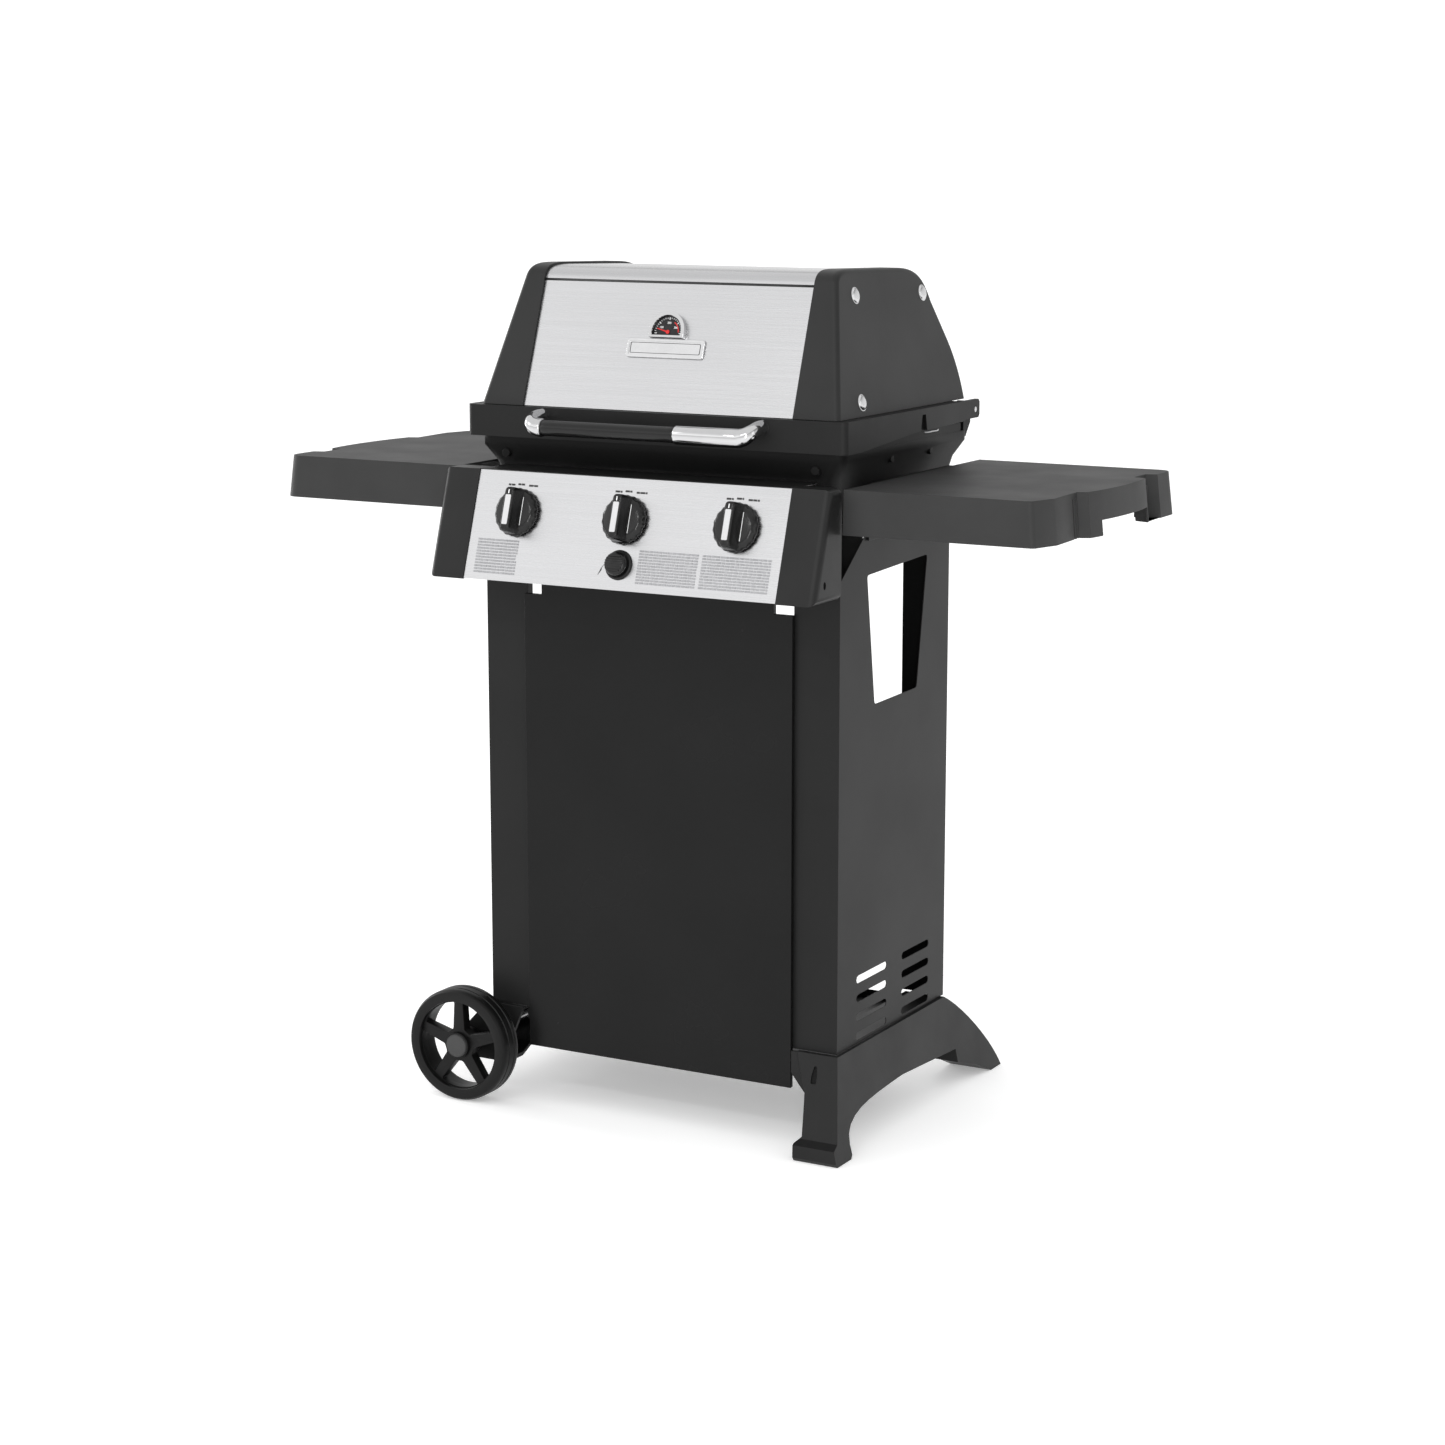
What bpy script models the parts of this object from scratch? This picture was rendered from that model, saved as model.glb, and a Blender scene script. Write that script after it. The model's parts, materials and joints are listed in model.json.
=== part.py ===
"""Three-burner gas barbecue grill on a two-wheeled cart, one object for each separate piece.

Metres, +Z up, +X to the right of a person at the front, the front faces -Y.  The origin is on
the ground in the middle of the grill's outline.
"""

from math import atan2, cos, pi, radians, sin

import bmesh
import bpy
from mathutils import Matrix, Vector

# ---------------------------------------------------------------- driving dimensions
GAP = 0.0004                 # between pieces that touch
SHEET = 0.0012               # steel sheet
CASTING = 0.005              # wall of the cast and moulded pieces

SEAM_Z = 0.1352              # top of the moulded bases
BASE_INNER_X = 0.216
BASE_OUTER_X = 0.277
BASE_FLARE = 0.025           # how far a foot stands outside its seam
ARCH_Z = 0.066

SIDE_X = 0.272               # outer face of the side panels
SIDE_FRONT_Y = -0.176
SIDE_REAR_Y = 0.157
SIDE_TOP_Z = 0.840
FLANGE_X = 0.2050            # inner edge of the front flanges
REAR_FLANGE_X = 0.202
WINDOW_RADIUS = 0.005

FRONT_HALF_X = 0.2065
FRONT_LOW_Z = 0.082
FRONT_TOP_Z = 0.815

WHEEL_RADIUS = 0.0800
WHEEL_WIDTH = 0.040
WHEEL_X = -0.297
WHEEL_FRONT_Y = -0.2135      # middle of the front wheel
WHEEL_REAR_Y = 0.2735        # middle of the rear wheel
AXLE_RADIUS = 0.005
SPOKES = 5

PANEL_HALF_X = 0.236
PANEL_TOP = (-0.241, 0.8955)      # (y, z) of the control panel's top edge
PANEL_LOW = (-0.287, 0.754)
CAP_X = 0.292
CAP_REAR_Y = -0.2125
KNOB_X = (-0.166, 0.0, 0.166)
KNOB_Z = 0.8425
KNOB_RADIUS = 0.033
KNOB_HEIGHT = 0.031
IGNITER_Z = 0.786
TRAVEL = 0.003                    # of the knobs and the igniter button

SHELF_TOP_Z = 0.8945
SHELF_SKIRT = 0.058
SHELF_INNER_X = 0.294
SHELF_FLARE = 0.006

RIM_Z = 0.935
RIM_X = 0.276
RIM_FRONT_Y = -0.180
SHOULDER_Z = SIDE_TOP_Z + GAP
DRAIN_Z = 0.800
GRID_TOP_Z = 0.926
BURNER_Z = 0.868

BAND_X = 0.288
BAND_FRONT_Y = -0.195
BAND_LOW_Z = 0.9355
BAND_TOP_Z = 0.9775
LID_FOOT_Z = BAND_TOP_Z + GAP
LID_X = 0.272
LID_LEAN = 0.20              # how much a lid end leans in, for each metre up
LID_PANEL_X = 0.205
HINGE_Y = 0.2035
HINGE_Z = 0.9635
LUG_RADIUS = 0.0115
PIN_RADIUS = 0.004
LID_FACE_LOW = (-0.181, 0.978)    # (y, z) of the stainless front's bottom edge
LID_FACE_TOP = (-0.120, 1.1495)
HANDLE_Y = -0.228
HANDLE_Z = 0.954
GRIP_LEFT_X = -0.1445            # the grip's ends; the right chrome sleeve is the longer one
GRIP_RIGHT_X = 0.0575
THERMOMETER_RISE = 0.1077        # of the dial's centre above the stainless front's foot

SIDES = (("left", -1), ("right", 1))


# ---------------------------------------------------------------- scene and materials
def clear_scene():
    for old in list(bpy.data.objects):
        bpy.data.objects.remove(old, do_unlink=True)


def new_collection(name):
    made = bpy.data.collections.new(name)
    bpy.context.scene.collection.children.link(made)
    return made


def principled(name, colour, roughness, metallic=0.0):
    material = bpy.data.materials.new(name)
    material.use_nodes = True
    shader = material.node_tree.nodes["Principled BSDF"]
    shader.inputs["Base Color"].default_value = (*colour, 1.0)
    shader.inputs["Roughness"].default_value = roughness
    shader.inputs["Metallic"].default_value = metallic
    return material


clear_scene()
GRILL = new_collection("gas_barbecue_grill")
CUTTERS = new_collection("cutters")
BLACK_PAINT = principled("black_paint", (0.022, 0.022, 0.023), 0.35)
GREY_PAINT = principled("grey_paint", (0.045, 0.045, 0.047), 0.45)
BLACK_RESIN = principled("black_resin", (0.030, 0.030, 0.031), 0.55)
SHELF_RESIN = principled("shelf_resin", (0.075, 0.075, 0.077), 0.60)
CAST_BLACK = principled("cast_black", (0.028, 0.028, 0.029), 0.50, 0.3)
STAINLESS = principled("stainless", (0.60, 0.60, 0.61), 0.32, 1.0)
CHROME = principled("chrome", (0.80, 0.80, 0.82), 0.08, 1.0)
ZINC = principled("zinc", (0.50, 0.51, 0.53), 0.35, 1.0)
CAST_IRON = principled("cast_iron", (0.035, 0.033, 0.032), 0.75, 0.2)
BRASS = principled("brass", (0.60, 0.45, 0.20), 0.35, 1.0)
BURNER_STEEL = principled("burner_steel", (0.45, 0.43, 0.40), 0.40, 1.0)
DIAL_BLACK = principled("dial_black", (0.015, 0.015, 0.016), 0.35)
NEEDLE_RED = principled("needle_red", (0.60, 0.03, 0.03), 0.40)


# ---------------------------------------------------------------- making pieces
def add(mesh, name, material, smooth=False):
    """Put a mesh in the grill's collection as one piece."""
    mesh.name = name
    piece = bpy.data.objects.new(name, mesh)
    GRILL.objects.link(piece)
    if material:
        mesh.materials.clear()
        mesh.materials.append(material)
    if smooth:
        mesh.shade_smooth()
        mesh.set_sharp_from_angle(angle=radians(35))
    return piece


def as_cutter(piece):
    """Move a shape to the cutters, where it only serves a Boolean modifier."""
    GRILL.objects.unlink(piece)
    CUTTERS.objects.link(piece)
    piece.hide_render = True
    piece.display_type = "WIRE"
    return piece


def combine(piece, other, operation):
    modifier = piece.modifiers.new(operation.lower(), "BOOLEAN")
    modifier.operation = operation
    modifier.object = as_cutter(other)
    return piece


def cut(piece, other):
    return combine(piece, other, "DIFFERENCE")


def join(piece, other):
    return combine(piece, other, "UNION")


def common(piece, other):
    return combine(piece, other, "INTERSECT")


def baked(source, matrix):
    """Turn a curve object into a welded mesh with its faces pointing out, and remove the curve."""
    bpy.context.view_layer.update()
    graph = bpy.context.evaluated_depsgraph_get()
    mesh = bpy.data.meshes.new_from_object(source.evaluated_get(graph))
    bpy.data.objects.remove(source, do_unlink=True)
    mesh.transform(matrix)
    welded = bmesh.new()
    welded.from_mesh(mesh)
    bmesh.ops.remove_doubles(welded, verts=welded.verts, dist=0.00002)
    bmesh.ops.recalc_face_normals(welded, faces=welded.faces)
    welded.to_mesh(mesh)
    welded.free()
    return mesh


def prism(name, loops, low, high, axis, material=None, smooth=False):
    """A flat outline, with holes for further loops, from low to high along an axis.

    Outlines are (y, z) for axis X, (x, z) for axis Y and (x, y) for axis Z.
    """
    curve = bpy.data.curves.new(name, "CURVE")
    curve.dimensions = "2D"
    curve.fill_mode = "BOTH"
    curve.extrude = (high - low) / 2
    for loop in loops:
        spline = curve.splines.new("POLY")
        spline.points.add(len(loop) - 1)
        spline.use_cyclic_u = True
        for point, (u, v) in zip(spline.points, loop):
            point.co = (u, v, 0.0, 1.0)
    source = bpy.data.objects.new(name, curve)
    GRILL.objects.link(source)
    middle = (low + high) / 2
    turns = {
        "X": Matrix(((0, 0, 1, middle), (1, 0, 0, 0), (0, 1, 0, 0), (0, 0, 0, 1))),
        "Y": Matrix(((1, 0, 0, 0), (0, 0, -1, middle), (0, 1, 0, 0), (0, 0, 0, 1))),
        "Z": Matrix.Translation((0, 0, middle)),
    }
    return add(baked(source, turns[axis]), name, material, smooth)


def box(name, low, high, material=None):
    low, high = Vector(low), Vector(high)
    shape = bmesh.new()
    bmesh.ops.create_cube(shape, size=1.0)
    bmesh.ops.scale(shape, vec=high - low, verts=shape.verts)
    bmesh.ops.translate(shape, vec=(low + high) / 2, verts=shape.verts)
    mesh = bpy.data.meshes.new(name)
    shape.to_mesh(mesh)
    shape.free()
    return add(mesh, name, material)


def cylinder(name, radius, low, high, centre=(0.0, 0.0), axis="Z", material=None, sides=24):
    """A round bar from low to high along an axis, about a centre in the other two coordinates."""
    shape = bmesh.new()
    bmesh.ops.create_cone(shape, cap_ends=True, segments=sides, radius1=radius,
                          radius2=radius, depth=high - low)
    middle = (low + high) / 2
    places = {
        "X": Matrix.Translation((middle, *centre)) @ Matrix.Rotation(pi / 2, 4, "Y"),
        "Y": Matrix.Translation((centre[0], middle, centre[1])) @ Matrix.Rotation(pi / 2, 4, "X"),
        "Z": Matrix.Translation((*centre, middle)),
    }
    shape.transform(places[axis])
    mesh = bpy.data.meshes.new(name)
    shape.to_mesh(mesh)
    shape.free()
    return add(mesh, name, material, smooth=True)


def turned(name, profile, material, steps=28, turn=None):
    """A profile of (radius, height) points, top to bottom, turned about Z."""
    mesh = bpy.data.meshes.new(name)
    points = [(radius, 0.0, height) for radius, height in profile]
    mesh.from_pydata(points, [(i, i + 1) for i in range(len(points) - 1)], [])
    if turn:
        mesh.transform(turn)
    piece = add(mesh, name, material)
    screw = piece.modifiers.new("turn", "SCREW")
    screw.steps = steps
    screw.render_steps = steps
    screw.use_merge_vertices = True
    screw.merge_threshold = 0.00005
    screw.use_smooth_shade = True
    return piece


def tube(name, points, radius, material, resolution=3, radii=None):
    """A round bar that follows points, as thick as radius times each point's own factor."""
    curve = bpy.data.curves.new(name, "CURVE")
    curve.dimensions = "3D"
    curve.bevel_depth = radius
    curve.bevel_resolution = resolution
    curve.use_fill_caps = True
    spline = curve.splines.new("POLY")
    spline.points.add(len(points) - 1)
    for i, (point, place) in enumerate(zip(spline.points, points)):
        point.co = (*place, 1.0)
        point.radius = radii[i] if radii else 1.0
    source = bpy.data.objects.new(name, curve)
    GRILL.objects.link(source)
    return add(baked(source, Matrix.Identity(4)), name, material, smooth=True)


def empty(name, location, rotation=(0.0, 0.0, 0.0), parent=None):
    marker = bpy.data.objects.new(name, None)
    marker.empty_display_size = 0.02
    marker.location = location
    marker.rotation_euler = rotation
    marker.parent = parent
    GRILL.objects.link(marker)
    return marker


def hang(marker, *pieces):
    """Parent pieces that are modelled in the grill's own frame to a marker, where they are."""
    bpy.context.view_layer.update()
    for piece in pieces:
        piece.parent = marker
        piece.matrix_parent_inverse = marker.matrix_world.inverted()


def place(marker, *pieces):
    """Parent pieces that are modelled in a marker's frame to it, with their cutters."""
    for piece in pieces:
        piece.parent = marker
        for modifier in piece.modifiers:
            if modifier.type == "BOOLEAN":
                modifier.object.parent = marker


# ---------------------------------------------------------------- outlines
def arc(centre, radius, start, stop, steps):
    """Points on a circle from one angle to another, in degrees."""
    angles = [radians(start + (stop - start) * i / steps) for i in range(steps + 1)]
    return [(centre[0] + radius * cos(a), centre[1] + radius * sin(a)) for a in angles]


def bezier(p0, p1, p2, p3, steps):
    points = []
    for i in range(steps + 1):
        t = i / steps
        weights = ((1 - t) ** 3, 3 * t * (1 - t) ** 2, 3 * t * t * (1 - t), t ** 3)
        points.append(tuple(sum(w * p[k] for w, p in zip(weights, (p0, p1, p2, p3)))
                            for k in (0, 1)))
    return points


def rounded(corners, radius, steps=3):
    """A closed outline with each corner replaced by a curve that starts radius before it."""
    points = []
    for i, corner in enumerate(corners):
        here = Vector(corner)
        before = (Vector(corners[i - 1]) - here).normalized() * radius
        after = (Vector(corners[(i + 1) % len(corners)]) - here).normalized() * radius
        for k in range(steps + 1):
            t = k / steps
            points.append(tuple(here + before * (1 - t) ** 2 + after * t * t))
    return points


def rectangle(x0, y0, x1, y1):
    return [(x0, y0), (x1, y0), (x1, y1), (x0, y1)]


def slot(y0, y1, z, height):
    """A slot with round ends, along Y."""
    r = height / 2
    return arc((y1 - r, z), r, -90, 90, 4) + arc((y0 + r, z), r, 90, 270, 4)


def mirrored(points, side):
    return [(side * u, v) for u, v in points]


def span(side, inner, outer):
    """The low and high X of something between two distances from the middle, on one side."""
    return sorted((side * inner, side * outer))


def move_vertices(piece, rule):
    """Give every vertex of a piece the place that a rule makes of its own."""
    for vertex in piece.data.vertices:
        vertex.co = rule(*vertex.co)
    return piece


# ---------------------------------------------------------------- bases, axle and wheels
def rear_leg(stop_z):
    """The curved top of a rear leg, from the seam down to a height."""
    curve = bezier((0.150, SEAM_Z), (0.200, 0.110), (0.275, 0.045), (0.297, 0.0), 10)
    return [point for point in curve if point[1] >= stop_z]


def base_right():
    arch = bezier((-0.187, 0.020), (-0.190, 0.060), (-0.120, 0.062), (-0.010, ARCH_Z), 8)
    side = [(-0.184, SEAM_Z)] + rear_leg(0.004) + [(0.297, 0.0), (0.262, 0.0)]
    side += [(0.214, 0.0215), (0.161, 0.038), (0.160, 0.0575)] + arch[::-1]
    side += [(-0.185, 0.005), (-0.190, 0.0), (-0.230, 0.0), (-0.234, 0.005)]
    side += [(-0.2335, 0.022), (-0.2215, 0.0285)]
    front = [(BASE_INNER_X, SEAM_Z), (BASE_OUTER_X, SEAM_Z), (BASE_OUTER_X + BASE_FLARE, 0.0),
             (0.236, 0.0), (0.236, 0.024), (0.243, 0.031), (0.240, 0.060), (0.237, 0.085)]
    pocket = [(-0.179, 0.130), (0.148, 0.130), (0.205, 0.090), (0.262, 0.038), (0.284, 0.010),
              (0.268, 0.008), (0.218, 0.030), (0.168, 0.046), (0.158, 0.066), (-0.010, 0.073),
              (-0.110, 0.071), (-0.172, 0.060), (-0.194, 0.034), (-0.195, 0.006),
              (-0.226, 0.006), (-0.226, 0.019), (-0.214, 0.025)]

    def flare(x, y, z):
        return (x + BASE_FLARE * (1 - z / SEAM_Z), y, z)

    base = prism("base_right", [side], 0.200, 0.320, "X", BLACK_RESIN)
    common(base, prism("base_right_front_view", [front], -0.260, 0.320, "Y"))
    hollow = prism("base_right_hollow", [pocket], 0.170, BASE_OUTER_X - CASTING, "X")
    cut(base, move_vertices(hollow, flare))
    web = [(0.2075, SEAM_Z - 0.0006), (0.2420, SEAM_Z - 0.0006), (0.2420, 0.064), (0.2250, 0.082),
           (0.2075, 0.104)]
    return join(base, prism("base_right_web", [web], -0.1838, -0.1800, "Y"))


def base_left():
    """The wheeled end: it stops above the ground and carries the axle."""
    low = 0.052
    side = [(-0.184, SEAM_Z)] + rear_leg(0.060) + [(0.249, 0.060), (0.249, low), (0.150, low)]
    side += [(0.130, 0.062), (-0.130, 0.062), (-0.150, low), (-0.1875, low)]
    front = [(BASE_INNER_X, SEAM_Z), (BASE_OUTER_X, SEAM_Z), (0.314, 0.095), (0.316, 0.056),
             (0.311, low), (0.240, low), (0.237, 0.085)]
    hollow_side = [(-0.179, 0.130), (0.148, 0.130), (0.205, 0.088), (0.243, 0.063),
                   (0.243, 0.058), (0.150, 0.058), (0.130, 0.068), (-0.130, 0.068),
                   (-0.150, 0.058), (-0.179, 0.058)]
    hollow_front = [(0.190, 0.130), (0.2745, 0.130), (0.309, 0.0935), (0.311, 0.050),
                    (0.190, 0.050)]
    base = prism("base_left", [side], -0.320, -0.200, "X", BLACK_RESIN)
    common(base, prism("base_left_front_view", [mirrored(front, -1)], -0.260, 0.320, "Y"))
    hollow = prism("base_left_hollow", [hollow_side], -0.320, -0.180, "X")
    common(hollow, prism("base_left_hollow_view", [mirrored(hollow_front, -1)],
                         -0.260, 0.320, "Y"))
    cut(base, hollow)
    hole = cylinder("axle_hole", AXLE_RADIUS + GAP, -0.26, 0.32, (WHEEL_X, WHEEL_RADIUS), "Y")
    return cut(base, hole)


def axle():
    return cylinder("axle", AXLE_RADIUS, WHEEL_FRONT_Y - WHEEL_WIDTH / 2 + 0.0015,
                    WHEEL_REAR_Y + WHEEL_WIDTH / 2 - 0.0015, (WHEEL_X, WHEEL_RADIUS), "Y",
                    ZINC)


def spoke_opening(index):
    """The gap between two spokes, as a closed outline in the wheel's plane."""
    middle = 90 + 360 / SPOKES * (index + 0.5)
    outer = arc((0, 0), 0.0610, middle - 27, middle + 27, 6)
    inner = arc((0, 0), 0.0235, middle + 9, middle - 9, 2)
    return outer + inner


def wheel(name, middle_y, outward):
    """A moulded wheel modelled about Z, turned so that its outer face looks along outward."""
    half = WHEEL_WIDTH / 2
    shoulder = WHEEL_RADIUS - 0.0015
    wall = WHEEL_RADIUS - 0.0060
    tyre = [(0.0635, half - 0.001), (wall, half), (shoulder, half - 0.004),
            (WHEEL_RADIUS, half - 0.012), (WHEEL_RADIUS, 0.012 - half),
            (shoulder, 0.004 - half), (wall, -half), (0.0635, 0.001 - half),
            (0.0610, 0.0), (0.0635, half - 0.001)]
    piece = turned(name, tyre, BLACK_RESIN, steps=36)
    rim = arc((0, 0), 0.0670, 0, 350, 35)
    openings = [spoke_opening(i) for i in range(SPOKES)]
    join(piece, prism(name + "_spokes", [rim] + openings, -0.002, half - 0.007, "Z"))
    join(piece, cylinder(name + "_hub", 0.0185, 0.001 - half, half - 0.001))
    join(piece, cylinder(name + "_cap", 0.0165, half - 0.002, half + 0.0035))
    cut(piece, cylinder(name + "_bore", AXLE_RADIUS + 0.0005, -0.05, half - 0.001))
    marker = empty(name + "_pivot", (WHEEL_X, middle_y, WHEEL_RADIUS),
                   (pi / 2 if outward < 0 else -pi / 2, 0.0, 0.0))
    place(marker, piece)


# ---------------------------------------------------------------- cart panels
def side_panel(label, side):
    """Outer sheet with a folded front flange, a rear flange and a flat top ledge."""
    wall = SIDE_X - SHEET
    section = [(FLANGE_X, -0.164), (FLANGE_X, SIDE_FRONT_Y), (SIDE_X, SIDE_FRONT_Y),
               (SIDE_X, SIDE_REAR_Y), (REAR_FLANGE_X, SIDE_REAR_Y),
               (REAR_FLANGE_X, SIDE_REAR_Y - SHEET),
               (wall, SIDE_REAR_Y - SHEET), (wall, SIDE_FRONT_Y + SHEET),
               (FLANGE_X + SHEET, SIDE_FRONT_Y + SHEET), (FLANGE_X + SHEET, -0.164)]
    name = "side_panel_" + label
    panel = prism(name, [mirrored(section, side)], SEAM_Z + GAP, SIDE_TOP_Z, "Z", GREY_PAINT)
    ledge_x = span(side, 0.244, SIDE_X - SHEET / 2)
    join(panel, box(name + "_ledge", (ledge_x[0], -0.100, SIDE_TOP_Z - SHEET),
                    (ledge_x[1], 0.150, SIDE_TOP_Z)))
    window = rounded([(-0.097, 0.7686), (0.086, 0.775), (0.057, 0.5954), (-0.072, 0.593)],
                     WINDOW_RADIUS)
    openings = [window]
    for row in range(4):
        height = 0.2245 - 0.0262 * row
        openings += [slot(-0.119, -0.027, height, 0.0105), slot(0.020, 0.106, height, 0.0105)]
    low, high = span(side, 0.262, 0.280)
    cut(panel, prism(name + "_openings", openings, low, high, "X"))
    low, high = span(side, REAR_FLANGE_X - 0.010, 0.2580)
    cut(panel, box(name + "_flange_top", (low, 0.150, 0.826), (high, 0.165, 0.845)))
    corner = [(-0.190, 0.7577), (-0.108, 0.8205), (-0.108, 0.860), (-0.190, 0.860)]
    low, high = span(side, 0.190, 0.290)
    return cut(panel, prism(name + "_corner", [corner], low, high, "X"))


def front_panel():
    """A shallow pressed pan with a notch in each top corner."""
    notch_x, notch_z = 0.179, 0.722
    right = [(FRONT_HALF_X, FRONT_LOW_Z), (FRONT_HALF_X, notch_z), (notch_x, notch_z),
             (notch_x, FRONT_TOP_Z)]
    outline = right + mirrored(right, -1)[::-1]
    inner = [(x - SHEET if x > 0 else x + SHEET, z) for x, z in outline]
    inner = [(x, z + SHEET if z == FRONT_LOW_Z else z - SHEET) for x, z in inner]
    panel = prism("front_panel", [outline], -0.1835, -0.1764, "Y", BLACK_PAINT)
    return cut(panel, prism("front_panel_hollow", [inner], -0.1823, -0.170, "Y"))


def pan(name, low, high, wall, material):
    """An open-topped tray."""
    tray = box(name, low, high, material)
    inner_low = [value + wall for value in low]
    inner_high = (high[0] - wall, high[1] - wall, high[2] + 0.01)
    return cut(tray, box(name + "_hollow", inner_low, inner_high))


def cart_rails():
    """Rails between the side panels, and the tray that the gas bottle stands on."""
    reach = SIDE_X - SHEET - GAP
    half = [(reach, 0.742), (reach, 0.8355), (0.236, 0.8355), (0.225, 0.815)]
    prism("front_rail", [half + mirrored(half, -1)[::-1]], -0.1120, -0.1075, "Y", GREY_PAINT)
    box("rear_rail", (-reach, 0.135, 0.785), (reach, 0.150, 0.812), GREY_PAINT)
    pan("bottle_tray", (-0.2155, -0.174, 0.1165), (0.2155, 0.148, 0.1305), 0.0015, GREY_PAINT)


# ---------------------------------------------------------------- console
def panel_direction():
    return atan2(PANEL_TOP[1] - PANEL_LOW[1], PANEL_TOP[0] - PANEL_LOW[0])


def control_panel(marker, knob_rows, igniter_y):
    """A folded stainless sheet: sloping face, top ledge and a short bottom lip."""
    lean = SHEET * 1.05
    section = [(-0.172, PANEL_TOP[1]), PANEL_TOP, PANEL_LOW, (-0.262, PANEL_LOW[1]),
               (-0.262, PANEL_LOW[1] + SHEET), (PANEL_LOW[0] + 1.55 * lean, PANEL_LOW[1] + SHEET),
               (PANEL_TOP[0] + 0.75 * lean, PANEL_TOP[1] - SHEET),
               (-0.172, PANEL_TOP[1] - SHEET)]
    panel = prism("control_panel", [section], -PANEL_HALF_X, PANEL_HALF_X, "X", STAINLESS)
    holes = [cylinder("stem_hole", 0.0060, -0.010, 0.010, (x, 0.0)) for x in knob_rows]
    holes.append(cylinder("igniter_hole", 0.0130, -0.010, 0.010, (0.0, igniter_y)))
    for hole in holes:
        hole.parent = marker
        cut(panel, hole)


def console_cap(label, side):
    """A moulded end cap, hollow from behind, with its outer edges rounded."""
    low, high = span(side, PANEL_HALF_X + GAP, CAP_X)
    section = [(-0.2425, 0.8965), (CAP_REAR_Y, 0.8965), (CAP_REAR_Y, 0.7530), (-0.2885, 0.7530)]
    name = "console_cap_" + label
    cap = prism(name, [section], low, high, "X", BLACK_RESIN, smooth=True)
    round_edges(cap, lambda a, b: min(a.x * side, b.x * side) > CAP_X - 0.001
                and min(a.y, b.y) < CAP_REAR_Y - 0.001, 0.010)
    low, high = span(side, PANEL_HALF_X + 0.004, CAP_X - 0.006)
    inner = [(-0.2350, 0.8905), (-0.200, 0.8905), (-0.200, 0.7590), (-0.2790, 0.7590)]
    return cut(cap, prism(name + "_hollow", [inner], low, high, "X"))


def round_edges(piece, chosen, width, segments=3):
    """Bevel the edges of a piece whose two ends pass a test."""
    shape = bmesh.new()
    shape.from_mesh(piece.data)
    bmesh.ops.dissolve_limit(shape, angle_limit=radians(0.5), verts=shape.verts,
                             edges=shape.edges)
    edges = [e for e in shape.edges if chosen(e.verts[0].co, e.verts[1].co)]
    bmesh.ops.bevel(shape, geom=edges, offset=width, segments=segments, profile=0.5,
                    affect="EDGES", clamp_overlap=True)
    shape.to_mesh(piece.data)
    shape.free()
    piece.data.shade_smooth()
    piece.data.set_sharp_from_angle(angle=radians(35))


def knob(label, marker):
    """A round skirt with a raised grip bar, on a stem that is pressed in and turned."""
    name = "knob_" + label
    low = TRAVEL + 0.001
    profile = [(0.0, low + 0.010), (0.0255, low + 0.010), (0.0290, low + 0.008),
               (KNOB_RADIUS, low + 0.003), (KNOB_RADIUS, low), (0.0, low)]
    piece = turned(name, profile, BLACK_RESIN, steps=32)
    grip = rounded(rectangle(-0.0075, -0.0300, 0.0075, 0.0300), 0.006)
    join(piece, prism(name + "_grip", [grip], low + 0.005, KNOB_HEIGHT, "Z"))
    cut(piece, cylinder(name + "_socket", 0.0045, -0.010, 0.0205, sides=16))
    stem = cylinder("valve_stem_" + label, 0.0040, -0.012, 0.020, material=BRASS, sides=16)
    body = cylinder("gas_valve_" + label, 0.0090, -0.048, -0.0018, material=BRASS, sides=20)
    cut(body, cylinder("gas_valve_bore_" + label, 0.0045, -0.016, 0.010, sides=16))
    place(marker, piece, stem, body)


def igniter(marker):
    """A sprung push button in a threaded housing."""
    housing = turned("igniter_housing",
                     [(0.0, 0.0030), (0.0185, 0.0030), (0.0200, 0.0003), (0.0125, 0.0003),
                      (0.0125, -0.0280), (0.0, -0.0280)], BLACK_RESIN, steps=24)
    cut(housing, cylinder("igniter_bore", 0.0075, -0.022, 0.010, sides=16))
    button = turned("igniter_button",
                    [(0.0, 0.0160), (0.0120, 0.0155), (0.0155, 0.0130), (0.0155, 0.0070),
                     (0.0068, 0.0070), (0.0068, -0.0150), (0.0, -0.0150)], BLACK_RESIN,
                    steps=24)
    place(marker, housing, button)


def console():
    tilt = (panel_direction(), 0.0, 0.0)
    slope = (PANEL_TOP[0] - PANEL_LOW[0]) / (PANEL_TOP[1] - PANEL_LOW[1])
    knob_y = PANEL_LOW[0] + slope * (KNOB_Z - PANEL_LOW[1])
    igniter_y = PANEL_LOW[0] + slope * (IGNITER_Z - PANEL_LOW[1])
    frame = empty("console_frame", (0.0, knob_y, KNOB_Z), tilt)
    control_panel(frame, KNOB_X, (IGNITER_Z - KNOB_Z) / sin(tilt[0]))
    for label, x in zip(("left", "centre", "right"), KNOB_X):
        knob(label, empty("knob_pivot_" + label, (x, knob_y, KNOB_Z), tilt))
    igniter(empty("igniter_axis", (0.0, igniter_y, IGNITER_Z), tilt))
    for label, side in SIDES:
        console_cap(label, side)
    pipe = (-0.018, -0.032)
    manifold = cylinder("gas_manifold", 0.0080, -0.190, 0.195, pipe, "X", ZINC)
    join(manifold, cylinder("gas_inlet", 0.0120, 0.190, 0.212, pipe, "X", sides=6))
    place(frame, manifold)


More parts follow.
